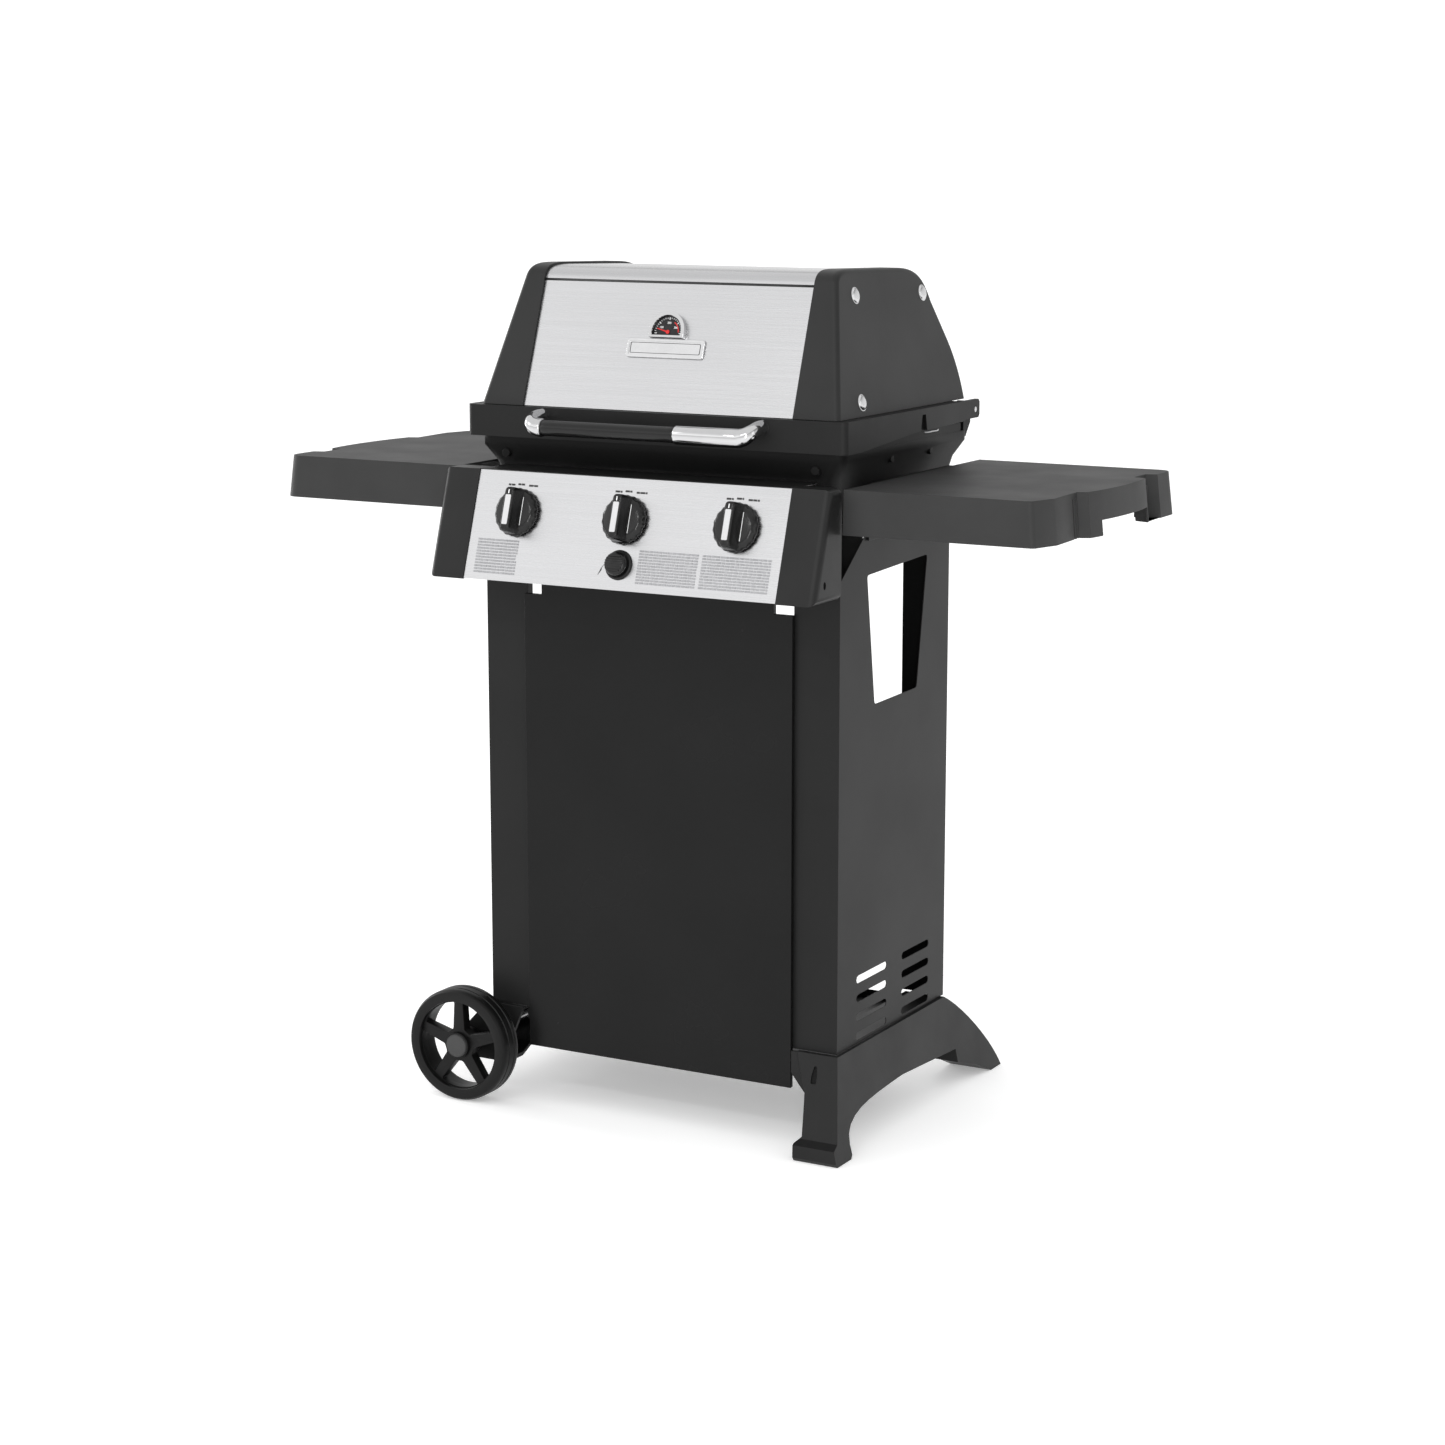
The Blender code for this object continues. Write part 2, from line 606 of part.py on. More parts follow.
# ---------------------------------------------------------------- side shelves
def shelf(label, side):
    """A moulded tray upside down: flat top, deep skirt, two tool notches in the outer edge.

    Both shelves are the same moulding, so the left one is the right one turned half round.
    """
    corner = bezier((0.530, -0.212), (0.552, -0.212), (0.566, -0.200), (0.566, -0.172), 5)
    bulge = bezier((0.575, -0.086), (0.588, -0.030), (0.590, 0.050), (0.580, 0.098), 6)
    rear = bezier((0.578, 0.180), (0.578, 0.196), (0.572, 0.204), (0.556, 0.204), 3)
    outline = [(SHELF_INNER_X, -0.212)] + corner + [(0.562, -0.092)] + bulge
    outline += [(0.563, 0.101), (0.563, 0.140), (0.578, 0.146)] + rear + [(SHELF_INNER_X, 0.204)]
    low = SHELF_TOP_Z - SHELF_SKIRT
    centre_y = -0.004
    wall = 0.0035

    def inset(x, y):
        shrunk_x = SHELF_INNER_X - 0.010 if x < SHELF_INNER_X + 0.001 else x - wall
        return (shrunk_x, y + wall if y < -0.205 else (y - wall if y > 0.200 else y))

    def placed(points):
        return [(side * x, centre_y + side * (y - centre_y)) for x, y in points]

    def flare(x, y, z):
        depth = (SHELF_TOP_Z - z) / SHELF_SKIRT
        grown_x = x + side * SHELF_FLARE * depth * (abs(x) > 0.5)
        return (grown_x, centre_y + (y - centre_y) * (1 + 0.018 * depth), z)

    name = "side_shelf_" + label
    tray = prism(name, [placed(outline)], low, SHELF_TOP_Z, "Z", SHELF_RESIN)
    move_vertices(tray, flare)
    inner = [inset(x, y) for x, y in outline]
    hollow = prism(name + "_hollow", [placed(inner)], low - 0.010,
                   SHELF_TOP_Z - wall, "Z")
    cut(tray, move_vertices(hollow, flare))
    relief = prism(name + "_relief", [placed(rectangle(0.500, -0.058, 0.620, 0.096))],
                   low - 0.010, low + 0.020, "Z")
    return cut(tray, relief)


def shelf_bracket(label, side):
    """An angle that hangs the shelf on the outside of the side panel."""
    section = [(0.2726, 0.815), (0.2726, 0.8905), (0.400, 0.8905), (0.400, 0.8880),
               (0.2750, 0.8880), (0.2750, 0.815)]
    bracket = prism("shelf_bracket_" + label, [mirrored(section, side)], -0.100, 0.150, "Y",
                    GREY_PAINT)
    return bracket


# ---------------------------------------------------------------- firebox
def ring(height, half_x, y0, y1, radius):
    outline = rounded(rectangle(-half_x, y0, half_x, y1), radius, 4)
    return [Vector((x, y, height)) for x, y in outline]


def loft(name, rings, thickness, material):
    """A sheet through rings of equal point counts, thickened inwards."""
    shape = bmesh.new()
    rows = [[shape.verts.new(point) for point in level] for level in rings]
    count = len(rows[0])
    for upper, lower in zip(rows, rows[1:]):
        for i in range(count):
            j = (i + 1) % count
            shape.faces.new((lower[i], lower[j], upper[j], upper[i]))
    mesh = bpy.data.meshes.new(name)
    shape.to_mesh(mesh)
    shape.free()
    piece = add(mesh, name, material, smooth=True)
    solid = piece.modifiers.new("thickness", "SOLIDIFY")
    solid.thickness = thickness
    solid.offset = -1.0
    return piece


def firebox():
    """The cast tub, with openings for the burner tubes and a hinge lug at each rear corner."""
    rings = [ring(RIM_Z, RIM_X, RIM_FRONT_Y, 0.205, 0.016),
             ring(0.922, RIM_X, RIM_FRONT_Y, 0.205, 0.016),
             ring(0.900, 0.262, -0.170, 0.198, 0.018),
             ring(SHOULDER_Z, 0.246, -0.152, 0.188, 0.020),
             ring(DRAIN_Z, 0.045, -0.030, 0.050, 0.020)]
    tub = loft("firebox", rings, 0.004, CAST_BLACK)
    for i, x in enumerate(KNOB_X):
        cut(tub, box("tube_opening_%d" % i, (x - 0.017, -0.190, SHOULDER_Z + 0.005),
                     (x + 0.017, -0.130, 0.886)))
    lip = plan_u(RIM_X - 0.0003, RIM_FRONT_Y + 0.0003, 0.0034, 0.016, 0.150)
    join(tub, prism("firebox_lip", [lip], RIM_Z - 0.006, RIM_Z + 0.0115, "Z"))
    lug = [(HINGE_Y - LUG_RADIUS, 0.926)] + arc((HINGE_Y, HINGE_Z), LUG_RADIUS, 180, 0, 8)
    lug += [(HINGE_Y + LUG_RADIUS, 0.945), (HINGE_Y - 0.004, 0.926)]
    for label, side in SIDES:
        low, high = span(side, 0.2600, 0.2745)
        join(tub, prism("firebox_lug_" + label, [lug], low, high, "X"))
        low, high = span(side, 0.2560, BAND_X - 0.0003)
        cylinder("hinge_pin_" + label, PIN_RADIUS, low, high, (HINGE_Y, HINGE_Z), "X", ZINC, 20)
        cut(tub, cylinder("firebox_lug_hole_" + label, PIN_RADIUS + 0.0004, low - 0.01,
                          high + 0.01, (HINGE_Y, HINGE_Z), "X", None, 20))


def burners():
    """A burner tube for each knob, under one sheet with a roof over each tube."""
    ridge = []
    for label, x in zip(("left", "centre", "right"), KNOB_X):
        route = [(x, -0.200, 0.838), (x, -0.184, 0.842), (x, -0.168, 0.855),
                 (x, -0.150, 0.8655), (x, -0.130, BURNER_Z), (x, 0.165, BURNER_Z)]
        tube("burner_" + label, route, 0.0125, BURNER_STEEL, resolution=3)
        ridge += [(x - 0.050, 0.8870), (x, 0.9060), (x + 0.050, 0.8870)]
    under = [(x, z - 0.0015) for x, z in ridge]
    prism("heat_tent", [ridge + under[::-1]], -0.135, 0.165, "Y", BURNER_STEEL)


def cooking_grid(label, side):
    """A cast grid of bars along Y in a frame."""
    low, high = span(side, 0.0015, 0.2600)
    outline = rounded(rectangle(low, -0.158, high, 0.183), 0.010)
    bars = 13
    pitch = (high - low - 0.012) / bars
    slots = [rectangle(low + 0.010 + pitch * i, -0.146, low + 0.002 + pitch * (i + 1), 0.171)
             for i in range(bars)]
    return prism("cooking_grid_" + label, [outline] + slots, GRID_TOP_Z - 0.008, GRID_TOP_Z,
                 "Z", CAST_IRON)


def warming_rack():
    """A slotted rack on four legs that stand on the cooking grids."""
    z = 1.020
    slots = [rectangle(-0.228 + 0.038 * i, 0.026, -0.194 + 0.038 * i, 0.129) for i in range(12)]
    rack = prism("warming_rack", [rectangle(-0.235, 0.020, 0.235, 0.135)] + slots,
                 z - 0.004, z, "Z", CHROME)
    for i, (x, y) in enumerate(((-0.235, 0.020), (0.231, 0.020), (-0.235, 0.131),
                                (0.231, 0.131))):
        join(rack, box("rack_leg_%d" % i, (x, y, GRID_TOP_Z + 0.0005),
                       (x + 0.004, y + 0.004, z - 0.002)))
    return rack


def drip_tray():
    """A tray that slides out backwards between two rails under the drain."""
    pan("drip_tray", (-0.088, -0.100, 0.7600), (0.088, 0.125, 0.7830), 0.0015, ZINC)
    half = [(0.0800, 0.7590), (0.0895, 0.7590), (0.0895, 0.7940), (0.0910, 0.7940),
            (0.0910, 0.7575), (0.0800, 0.7575)]
    rails = prism("tray_rails", [half], -0.105, 0.120, "Y", GREY_PAINT)
    join(rails, prism("tray_rail_left", [mirrored(half, -1)], -0.105, 0.120, "Y"))
    join(rails, box("tray_rail_bridge", (-0.0905, -0.105, 0.7575), (0.0905, -0.1035, 0.7940)))


# ---------------------------------------------------------------- lid
def plan_u(half_x, front_y, thick, radius, rear_y):
    """A U seen from above, open at the back, rounded at its two front corners."""
    inner_x = half_x - thick
    inner_y = front_y + thick
    inner_r = max(radius - thick, 0.003)
    out = arc((radius - half_x, front_y + radius), radius, 180, 270, 5)
    out += arc((half_x - radius, front_y + radius), radius, 270, 360, 5)
    back = arc((inner_x - inner_r, inner_y + inner_r), inner_r, 360, 270, 4)
    back += arc((inner_r - inner_x, inner_y + inner_r), inner_r, 270, 180, 4)
    return ([(-half_x, rear_y)] + out + [(half_x, rear_y), (inner_x, rear_y)] + back
            + [(-inner_x, rear_y)])


def lid_band():
    """The cast frame round the lid's foot, open at the back, ending in the hinge lugs."""
    outline = plan_u(BAND_X, BAND_FRONT_Y, 0.006, 0.009, 0.216)
    band = prism("lid_band", [outline], BAND_LOW_Z - 0.001, BAND_TOP_Z, "Z", CAST_BLACK,
                 smooth=True)
    side_view = [(-0.200, BAND_LOW_Z), (-0.150, BAND_LOW_Z), (0.010, 0.9475), (0.165, 0.9500),
                 (0.172, HINGE_Z - LUG_RADIUS)]
    side_view += [(0.2120, HINGE_Z - LUG_RADIUS), (0.2155, 0.9560), (0.2155, 0.9735),
                  (0.2120, BAND_TOP_Z), (0.2120, 0.985), (-0.200, 0.985)]
    common(band, prism("lid_band_side_view", [side_view], -0.300, 0.300, "X"))
    ledge = plan_u(BAND_X - 0.003, BAND_FRONT_Y + 0.003, 0.0235, 0.0065, 0.165)
    join(band, prism("lid_band_ledge", [ledge], 0.9710, BAND_TOP_Z - 0.0002, "Z"))
    return cut(band, cylinder("lid_band_pin_hole", PIN_RADIUS + 0.0004, -0.300, 0.300,
                              (HINGE_Y, HINGE_Z), "X", None, 20))


def lid_side_outline(inset=0.0):
    """The lid's shape from the side, as (y, z), optionally drawn in by a wall."""
    top = bezier((-0.124 + inset, 1.150 - 0.4 * inset), (-0.117 + inset, 1.1655 - inset),
                 (-0.100 + inset, 1.1655 - inset), (-0.070, 1.1650 - inset), 5)
    rear = bezier((0.070, 1.1610 - inset), (0.122, 1.1590 - inset), (0.136, 1.148 - inset),
                  (0.149 - inset, 1.1150 - 0.3 * inset), 5)
    back = bezier((0.182 - inset, 1.0600), (0.196 - inset, 1.035), (0.203 - inset, 1.010),
                  (0.204 - inset, LID_FOOT_Z), 4)
    return [(-0.184 + inset, LID_FOOT_Z)] + top + rear + back


def lid_cap(label, side):
    """A hollow cast end of the lid: it leans inwards and its outer edge is rounded."""
    name = "lid_cap_" + label

    def lean(x, y, z):
        moved = side * LID_LEAN * (z - LID_FOOT_Z) * (abs(x) > LID_PANEL_X + 0.010)
        return (x - moved, y, z)

    low, high = span(side, LID_PANEL_X + GAP, LID_X)
    cap = prism(name, [lid_side_outline()], low, high, "X", CAST_BLACK, smooth=True)
    move_vertices(cap, lean)
    foot = LID_FOOT_Z + 0.0005
    round_edges(cap, lambda a, b: min(abs(a.x), abs(b.x)) > LID_PANEL_X + 0.012
                and max(a.z, b.z) > foot, 0.007)
    low, high = span(side, LID_PANEL_X - 0.010, LID_X - CASTING)
    inner = lid_side_outline(CASTING)
    inner = [(inner[0][0], LID_FOOT_Z - 0.010)] + inner + [(inner[-1][0], LID_FOOT_Z - 0.010)]
    return cut(cap, move_vertices(prism(name + "_hollow", [inner], low, high, "X"), lean))


def folded_sheet(name, outer, material, smooth=True):
    """A sheet across the lid that follows a (y, z) line, thickened inwards."""
    inner = []
    for i, point in enumerate(outer):
        before = Vector(outer[max(i - 1, 0)])
        after = Vector(outer[min(i + 1, len(outer) - 1)])
        along = (after - before).normalized()
        inner.append((point[0] + SHEET * along.y, point[1] - SHEET * along.x))
    return prism(name, [outer + inner[::-1]], -LID_PANEL_X, LID_PANEL_X, "X", material, smooth)


def lid_sheets():
    """The stainless front and top, and the painted back."""
    roll = bezier(LID_FACE_TOP, (-0.114, 1.1615), (-0.098, 1.1628), (-0.070, 1.1625), 6)
    folded_sheet("lid_panel", [LID_FACE_LOW] + roll + [(0.060, 1.1585)], STAINLESS)
    slope = bezier((0.0605, 1.1582), (0.112, 1.1550), (0.129, 1.138), (0.145, 1.1135), 6)
    foot = bezier((0.179, 1.0590), (0.193, 1.035), (0.2005, 1.010), (0.2010, 0.9865), 4)
    folded_sheet("lid_back", slope + foot, CAST_BLACK)


def lid_bolts():
    """Three domed bolts on each end of the lid."""
    normal = atan2(LID_LEAN, 1.0)
    for label, side in SIDES:
        for part, y, z in (("front", -0.110, 0.996), ("top", -0.078, 1.1315),
                           ("rear", 0.122, 1.1260)):
            head = [(0.0, 0.0045), (0.0060, 0.0041), (0.0095, 0.0026), (0.0110, 0.0003),
                    (0.0, 0.0003)]
            bolt = turned("lid_bolt_%s_%s" % (part, label), head, CHROME, steps=20)
            face_x = side * (LID_X - LID_LEAN * (z - LID_FOOT_Z))
            bolt.location = (face_x, y, z)
            bolt.rotation_euler = (0.0, side * (pi / 2 - normal), 0.0)


def handle():
    """A black grip between two chrome elbows that stand on the band's front face."""
    for label, side in SIDES:
        route = [(167, -195.4, 966), (167, -198, 966), (167.5, -204, 966), (167.5, -211, 965),
                 (167, -218, 963), (165, -224, 960.5), (162, -227, 958), (158, -228, 956),
                 (153, -228, 954.5), (149, -228, 954)]
        route = [(side * x / 1000, y / 1000, z / 1000) for x, y, z in route]
        stop = GRIP_RIGHT_X + GAP if side > 0 else GRIP_LEFT_X - GAP
        route.append((stop, HANDLE_Y, HANDLE_Z))
        widths = [0.84, 0.80, 0.76, 0.76, 0.78, 0.82, 0.88, 0.94, 0.98, 1.0, 1.0]
        tube("handle_end_" + label, route, 0.0125, CHROME, resolution=4, radii=widths)
    cylinder("handle_grip", 0.0105, GRIP_LEFT_X, GRIP_RIGHT_X, (HANDLE_Y, HANDLE_Z), "X",
             BLACK_RESIN)


def lid_trim(marker):
    """Blank name plate and arched thermometer, on the stainless front."""
    plate = prism("name_plate", [rounded(rectangle(-0.059, 0.0722, 0.059, 0.0985), 0.005)],
                  0.0003, 0.0030, "Z", CHROME)
    centre = (0.0, THERMOMETER_RISE)
    rise = 18
    outer = arc(centre, 0.0270, -rise, 180 + rise, 18)
    inner = arc(centre, 0.0222, -rise + 4, 180 + rise - 4, 18)
    bezel = prism("thermometer_bezel", [outer, inner], 0.0003, 0.0075, "Z", CHROME, True)
    dial = prism("thermometer_dial", [arc(centre, 0.0217, -rise + 4, 180 + rise - 4, 18)],
                 0.0003, 0.0022, "Z", DIAL_BLACK)
    place(marker, plate, bezel, dial)


def thermometer_needle(marker):
    """A tapered pointer that turns on the dial's centre; at rest it points to the cold end."""
    pointer = arc((0.0, 0.0), 0.0028, 20, 340, 8) + [(0.0175, -0.0004), (0.0175, 0.0004)]
    rest = radians(165)
    turned_points = [(x * cos(rest) - y * sin(rest), x * sin(rest) + y * cos(rest))
                     for x, y in pointer]
    needle = prism("thermometer_needle", [turned_points], 0.0027, 0.0037, "Z", NEEDLE_RED)
    place(marker, needle)


def lid():
    pivot = empty("lid_pivot", (0.0, HINGE_Y, HINGE_Z))
    lid_band()
    for label, side in SIDES:
        lid_cap(label, side)
    lid_sheets()
    lid_bolts()
    handle()
    names = ["lid_band", "lid_panel", "lid_back", "handle_grip"]
    names += ["%s_%s" % (piece, label) for piece in ("lid_cap", "handle_end")
              for label, side in SIDES]
    names += ["lid_bolt_%s_%s" % (part, label) for part in ("front", "top", "rear")
              for label, side in SIDES]
    hang(pivot, *[bpy.data.objects[name] for name in names])
    rise = atan2(LID_FACE_TOP[1] - LID_FACE_LOW[1], LID_FACE_TOP[0] - LID_FACE_LOW[0])
    face = empty("lid_face_frame", (0.0, *LID_FACE_LOW), (rise, 0.0, 0.0))
    needle = empty("needle_pivot", (0.0, LID_FACE_LOW[0] + THERMOMETER_RISE * cos(rise),
                                    LID_FACE_LOW[1] + THERMOMETER_RISE * sin(rise)), (rise, 0.0, 0.0))
    lid_trim(face)
    thermometer_needle(needle)
    hang(pivot, face, needle)


# ---------------------------------------------------------------- whole grill
def build():
    base_right()
    base_left()
    axle()
    wheel("wheel_front", WHEEL_FRONT_Y, -1)
    wheel("wheel_rear", WHEEL_REAR_Y, 1)
    for label, side in SIDES:
        side_panel(label, side)
        shelf(label, side)
        shelf_bracket(label, side)
        cooking_grid(label, side)
    front_panel()
    cart_rails()
    console()
    firebox()
    burners()
    warming_rack()
    drip_tray()
    lid()


build()
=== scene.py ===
"""Looks of the gas barbecue grill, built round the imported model.  Metres, the row's own frame."""

import json
from math import atan2, cos, pi, radians, sin

import bmesh
import bpy
from mathutils import Matrix, Vector


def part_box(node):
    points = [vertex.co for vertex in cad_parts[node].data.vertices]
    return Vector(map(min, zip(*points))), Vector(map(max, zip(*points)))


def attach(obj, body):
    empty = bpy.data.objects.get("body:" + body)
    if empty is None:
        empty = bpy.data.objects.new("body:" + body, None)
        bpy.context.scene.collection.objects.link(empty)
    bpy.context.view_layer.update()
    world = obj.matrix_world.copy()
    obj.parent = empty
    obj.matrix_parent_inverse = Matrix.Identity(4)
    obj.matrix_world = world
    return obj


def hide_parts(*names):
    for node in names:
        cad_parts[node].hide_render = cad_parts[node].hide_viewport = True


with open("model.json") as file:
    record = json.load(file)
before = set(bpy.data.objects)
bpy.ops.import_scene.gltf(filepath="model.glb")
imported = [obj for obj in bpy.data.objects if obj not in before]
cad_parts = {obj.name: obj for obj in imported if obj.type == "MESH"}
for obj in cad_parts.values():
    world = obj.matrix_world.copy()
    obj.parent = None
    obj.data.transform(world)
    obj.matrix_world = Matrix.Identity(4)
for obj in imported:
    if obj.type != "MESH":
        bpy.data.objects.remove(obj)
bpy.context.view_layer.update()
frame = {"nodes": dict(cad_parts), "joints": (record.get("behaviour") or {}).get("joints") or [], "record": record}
SLOT_OF = {row["node"]: row["material_slot"] for row in frame["record"]["subparts"]}
BODY_OF = {node: body for body, nodes in frame["record"]["behaviour"]["bodies"].items()
           for node in nodes}
JOINTS = {joint["name"]: joint for joint in frame["joints"]}
SIDES = (("left", -1), ("right", 1))
KNOBS = ("left", "centre", "right")
SKIN = 0.0003                # thickness of a flat mark: print, and the painted highlights on the knobs
done = set()                 # CAD nodes that have a piece of their own


# ---------------------------------------------------------------- camera, lights and floor
FLOOR_DROP = 0.0003          # of the floor below the wheels and the foot


def link(thing):
    bpy.context.scene.collection.objects.link(thing)


def camera():
    """The photograph's view: 29 degrees round to the right and 11 degrees above."""
    data = bpy.data.cameras.new("view")
    data.lens = 76.67
    data.sensor_width = 36.0
    view = bpy.data.objects.new("view", data)
    view.location = (2.0457, -3.6846, 1.3459)
    view.rotation_euler = (radians(79.05), 0.0, radians(29.03))
    link(view)
    bpy.context.scene.camera = view


def area_light(name, place, aim, size, power):
    data = bpy.data.lights.new(name, "AREA")
    data.shape = "RECTANGLE"
    data.size, data.size_y = size
    data.energy = power
    lamp = bpy.data.objects.new(name, data)
    lamp.location = place
    lamp.rotation_euler = (Vector(aim) - Vector(place)).to_track_quat("-Z", "Y").to_euler()
    link(lamp)


def world_light():
    """White round the horizon, which is the backdrop, and softer light from above."""
    world = bpy.data.worlds.new("studio")
    world.use_nodes = True
    tree = world.node_tree
    place = tree.nodes.new("ShaderNodeTexCoord")
    split = tree.nodes.new("ShaderNodeSeparateXYZ")
    ramp = tree.nodes.new("ShaderNodeValToRGB")
    tree.links.new(place.outputs["Generated"], split.inputs["Vector"])
    tree.links.new(split.outputs["Z"], ramp.inputs["Fac"])
    tree.links.new(ramp.outputs["Color"], tree.nodes["Background"].inputs["Color"])
    elements = ramp.color_ramp.elements
    elements[0].position, elements[0].color = 0.10, (1.0, 1.0, 1.0, 1.0)
    elements[1].position, elements[1].color = 0.60, (0.40, 0.40, 0.40, 1.0)
    middle = elements.new(0.30)
    middle.color = (0.88, 0.88, 0.88, 1.0)
    tree.nodes["Background"].inputs["Strength"].default_value = 1.04
    bpy.context.scene.world = world


def ceiling_light():
    """A sun so wide that it is as soft as an overcast ceiling."""
    sun = bpy.data.lights.new("ceiling", "SUN")
    sun.energy = 1.6
    sun.angle = radians(125)
    ceiling = bpy.data.objects.new("ceiling", sun)
    ceiling.rotation_euler = (radians(12), radians(-14), 0.0)
    link(ceiling)


def pale_floor():
    shape = bmesh.new()
    bmesh.ops.create_circle(shape, cap_ends=True, segments=96, radius=60.0)
    mesh = bpy.data.meshes.new("floor")
    shape.to_mesh(mesh)
    shape.free()
    floor = bpy.data.objects.new("floor", mesh)
    floor.location.z = -FLOOR_DROP
    link(floor)
    mesh.materials.append(floor_finish())


def studio():
    """Pale floor, white surround and large soft lamps."""
    world_light()
    bpy.context.scene.view_settings.view_transform = "Standard"
    ceiling_light()
    area_light("key", (-3.4, -2.6, 2.4), (0, 0, 0.9), (1.2, 2.2), 5)
    area_light("side", (4.4, -0.6, 2.4), (0, 0, 0.7), (1.6, 2.4), 8)
    area_light("strip_front", (2.4, -4.3, 1.3), (0, 0, 0.9), (0.5, 2.2), 40)
    area_light("strip_top", (0.4, -3.6, 3.0), (0, 0, 0.9), (2.4, 0.2), 22)
    area_light("strip_left", (-4.2, 0.2, 1.2), (0, -0.2, 0.9), (0.6, 2.4), 45)
    pale_floor()


# ---------------------------------------------------------------- materials
class Finish:
    """One node material, with short calls for the nodes that these finishes share."""

    def __init__(self, name, **constants):
        self.material = bpy.data.materials.new(name)
        self.material.use_nodes = True
        self.tree = self.material.node_tree
        self.shader = self.tree.nodes["Principled BSDF"]
        for socket, value in constants.items():
            self.shader.inputs[socket.replace("_", " ")].default_value = value
        self.place = self.tree.nodes.new("ShaderNodeTexCoord").outputs["Object"]

    def noise(self, scale, stretch=(1, 1, 1), detail=3.0, roughness=0.5):
        mapping = self.tree.nodes.new("ShaderNodeMapping")
        mapping.inputs["Scale"].default_value = stretch
        self.tree.links.new(self.place, mapping.inputs["Vector"])
        node = self.tree.nodes.new("ShaderNodeTexNoise")
        node.inputs["Scale"].default_value = scale
        node.inputs["Detail"].default_value = detail
        node.inputs["Roughness"].default_value = roughness
        self.tree.links.new(mapping.outputs["Vector"], node.inputs["Vector"])
        return node.outputs["Fac"]

    def cells(self, scale):
        node = self.tree.nodes.new("ShaderNodeTexVoronoi")
        node.inputs["Scale"].default_value = scale
        self.tree.links.new(self.place, node.inputs["Vector"])
        return node.outputs["Distance"]

    def between(self, source, low, high, start=0.3, stop=0.7):
        """A number that runs from low to high as the source runs from start to stop."""
        node = self.tree.nodes.new("ShaderNodeMapRange")
        node.inputs["From Min"].default_value = start
        node.inputs["From Max"].default_value = stop
        node.inputs["To Min"].default_value = low
        node.inputs["To Max"].default_value = high
        self.tree.links.new(source, node.inputs["Value"])
        return node.outputs["Result"]

    def ramp(self, source, stops):
        node = self.tree.nodes.new("ShaderNodeValToRGB")
        elements = node.color_ramp.elements
        while len(elements) < len(stops):
            elements.new(0.5)
        for element, (position, colour) in zip(elements, stops):
            element.position = position
            element.color = (*colour, 1.0)
        self.tree.links.new(source, node.inputs["Fac"])
        return node.outputs["Color"]

    def feed(self, socket, source):
        self.tree.links.new(source, self.shader.inputs[socket])
        return self

    def tones(self, source, dark, light, start=0.3, stop=0.7):
        """Base colour that runs from dark to light as the source runs from start to stop."""
        return self.feed("Base Color", self.ramp(source, ((start, dark), (stop, light))))

    def bump(self, heights, strength=0.3):
        """Layers of (source, depth in metres), each a small relief on the one before."""
        normal = None
        for source, depth in heights:
            node = self.tree.nodes.new("ShaderNodeBump")
            node.inputs["Strength"].default_value = strength
            node.inputs["Distance"].default_value = depth
            self.tree.links.new(source, node.inputs["Height"])
            if normal:
                self.tree.links.new(normal, node.inputs["Normal"])
            normal = node.outputs["Normal"]
        self.tree.links.new(normal, self.shader.inputs["Normal"])
        return self


def grey(value, tint=0.0):
    return (value, value, value * (1 + tint))


def floor_finish():
    finish = Finish("floor_white", Roughness=0.9, Specular_IOR_Level=0.1,
                    Emission_Strength=0.30)
    pale = finish.ramp(finish.noise(3.0), ((0.3, grey(0.93)), (0.7, grey(0.95))))
    return finish.feed("Base Color", pale).feed("Emission Color", pale).material


def painted(name, dark, light, roughness, specular):
    """Satin powder coat: a fine orange-peel relief and a little cloudiness in the sheen."""
    finish = Finish(name, Specular_IOR_Level=specular)
    cloud = finish.noise(6.0, detail=4.0)
    finish.tones(cloud, grey(dark), grey(light))
    finish.feed("Roughness", finish.between(cloud, roughness - 0.04, roughness + 0.05))
    return finish.bump([(finish.noise(420.0, detail=2.0), 0.00006),
                        (finish.noise(60.0, detail=2.0), 0.00010)], 0.25).material


def moulded(name, dark, light, roughness, specular):
    """Moulded plastic: a fine cellular grain with paler rubbed patches."""
    finish = Finish(name, Specular_IOR_Level=specular)
    cloud = finish.noise(9.0, detail=5.0)
    finish.tones(cloud, grey(dark), grey(light), stop=0.72)
    finish.feed("Roughness", finish.between(cloud, roughness + 0.05, roughness - 0.04))
    return finish.bump([(finish.cells(1100.0), 0.00008),
                        (finish.noise(300.0), 0.00005)], 0.35).material


def cast_coat(name, dark, light, specular):
    """Heat-resistant black on a sand casting: pebbled relief and a dull sheen."""
    finish = Finish(name, Specular_IOR_Level=specular)
    cloud = finish.noise(7.0, detail=5.0)
    finish.tones(cloud, grey(dark), grey(light))
    finish.feed("Roughness", finish.between(cloud, 0.42, 0.54))
    return finish.bump([(finish.noise(260.0, detail=4.0), 0.00014),
                        (finish.noise(35.0), 0.00020)], 0.30).material


